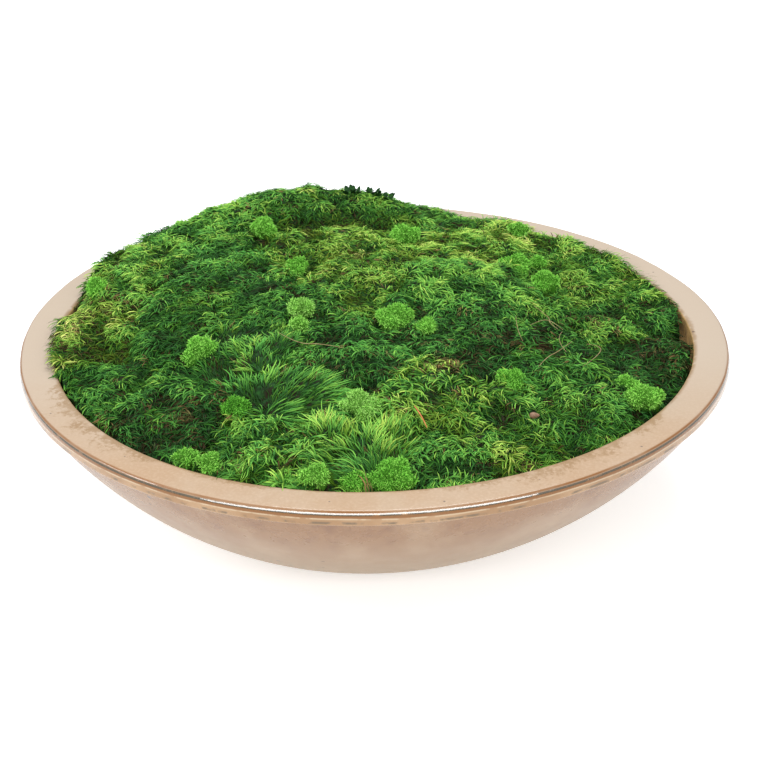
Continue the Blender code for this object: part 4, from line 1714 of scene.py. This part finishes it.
class MOSSBOWL_OT_stage(bpy.types.Operator):
    """Set the floor, the light and the camera"""

    bl_idname = "mossbowl.stage"
    bl_label = "Stage"

    def execute(self, context):
        settings = context.scene.moss_bowl_stage
        self.add_floor(context, settings)
        self.add_light(context)
        self.add_camera(context, settings)
        return {"FINISHED"}

    def add_floor(self, context, settings):
        """A wide plain floor."""
        cage = bmesh.new()
        bmesh.ops.create_grid(cage, x_segments=1, y_segments=1, size=FLOOR_REACH)
        mesh = finished(cage, "floor", smooth=False)
        made, _, _ = new_material(
            "floor",
            0.9,
            base_color=(*settings.floor_colour, 1.0),
            specular_ior_level=0.0,
            emission_color=WHITE,
            emission_strength=settings.floor_glow,
        )
        mesh.materials.append(made)
        floor = bpy.data.objects.new("floor", mesh)
        context.scene.collection.objects.link(floor)

    def add_light(self, context):
        """A white sky, a broad soft light overhead, a smaller one from the left and a strip in front."""
        world = bpy.data.worlds.new("studio")
        context.scene.world = world
        world.use_nodes = True
        sky = world.node_tree.nodes["Background"].inputs
        sky["Color"].default_value = WHITE
        sky["Strength"].default_value = SKY_STRENGTH
        target = Vector((0, 0, 0.15))
        for name, spot, width, depth, power in LAMPS:
            lamp = bpy.data.lights.new(name, "AREA")
            lamp.shape = "RECTANGLE"
            lamp.size = width
            lamp.size_y = depth
            lamp.energy = power
            made = bpy.data.objects.new(name, lamp)
            made.location = spot
            made.rotation_euler = (target - Vector(spot)).to_track_quat("-Z", "Y").to_euler()
            context.scene.collection.objects.link(made)
        context.scene.view_settings.view_transform = "Standard"

    def add_camera(self, context, settings):
        """The camera, where the photograph was taken from."""
        lens = bpy.data.cameras.new("camera")
        lens.sensor_width = 36.0
        lens.lens = lens.sensor_width * settings.focal_pixels / PIXELS
        camera = bpy.data.objects.new("camera", lens)
        context.scene.collection.objects.link(camera)
        context.scene.camera = camera
        _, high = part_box("bowl")
        back = Vector((0, -math.cos(settings.elevation), math.sin(settings.elevation)))
        pan = math.atan((settings.rim_centre_x - PIXELS / 2) / settings.focal_pixels)
        pitch = math.atan((PIXELS / 2 - settings.rim_centre_y) / settings.focal_pixels)
        look = Matrix.Rotation(math.pi / 2 - settings.elevation, 4, "X")
        turn = Matrix.Rotation(-pitch, 4, "X") @ Matrix.Rotation(pan, 4, "Y")
        turn = turn @ Matrix.Rotation(-settings.roll, 4, "Z")
        stand = Matrix.Translation(Vector((0, 0, high.z)) + back * settings.distance)
        camera.matrix_world = stand @ look @ turn


class MOSSBOWL_PT_panel(bpy.types.Panel):
    """Lists the steps that build the planted bowl"""

    bl_label = "Moss bowl"
    bl_idname = "MOSSBOWL_PT_panel"
    bl_space_type = "VIEW_3D"
    bl_region_type = "UI"
    bl_category = "Moss Bowl"

    def draw(self, context):
        for operator in OPERATORS:
            self.layout.operator(operator.bl_idname)
        for name in SETTINGS:
            group = getattr(context.scene, name)
            box = self.layout.box()
            for key in group.bl_rna.properties.keys():
                if key not in ("rna_type", "name"):
                    box.prop(group, key)


SETTINGS = {
    "moss_bowl": BowlSettings,
    "moss_bowl_cushion": CushionMossSettings,
    "moss_bowl_reindeer": ReindeerMossSettings,
    "moss_bowl_bits": BitsSettings,
    "moss_bowl_stage": StageSettings,
}

OPERATORS = (
    MOSSBOWL_OT_bowl,
    MOSSBOWL_OT_bed,
    MOSSBOWL_OT_cushion_moss,
    MOSSBOWL_OT_reindeer_moss,
    MOSSBOWL_OT_loose_bits,
    MOSSBOWL_OT_stage,
)


def register():
    for group in (*SETTINGS.values(), *OPERATORS, MOSSBOWL_PT_panel):
        bpy.utils.register_class(group)
    for name, group in SETTINGS.items():
        setattr(bpy.types.Scene, name, bpy.props.PointerProperty(type=group))


def unregister():
    for name in SETTINGS:
        delattr(bpy.types.Scene, name)
    for group in (MOSSBOWL_PT_panel, *OPERATORS, *SETTINGS.values()):
        bpy.utils.unregister_class(group)


def main():
    """Builds every piece in order."""
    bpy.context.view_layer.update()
    register()
    bpy.ops.mossbowl.bowl()
    bpy.ops.mossbowl.bed()
    bpy.ops.mossbowl.cushion_moss()
    bpy.ops.mossbowl.reindeer_moss()
    bpy.ops.mossbowl.loose_bits()
    bpy.ops.mossbowl.stage()


if __name__ == "__main__":
    main()
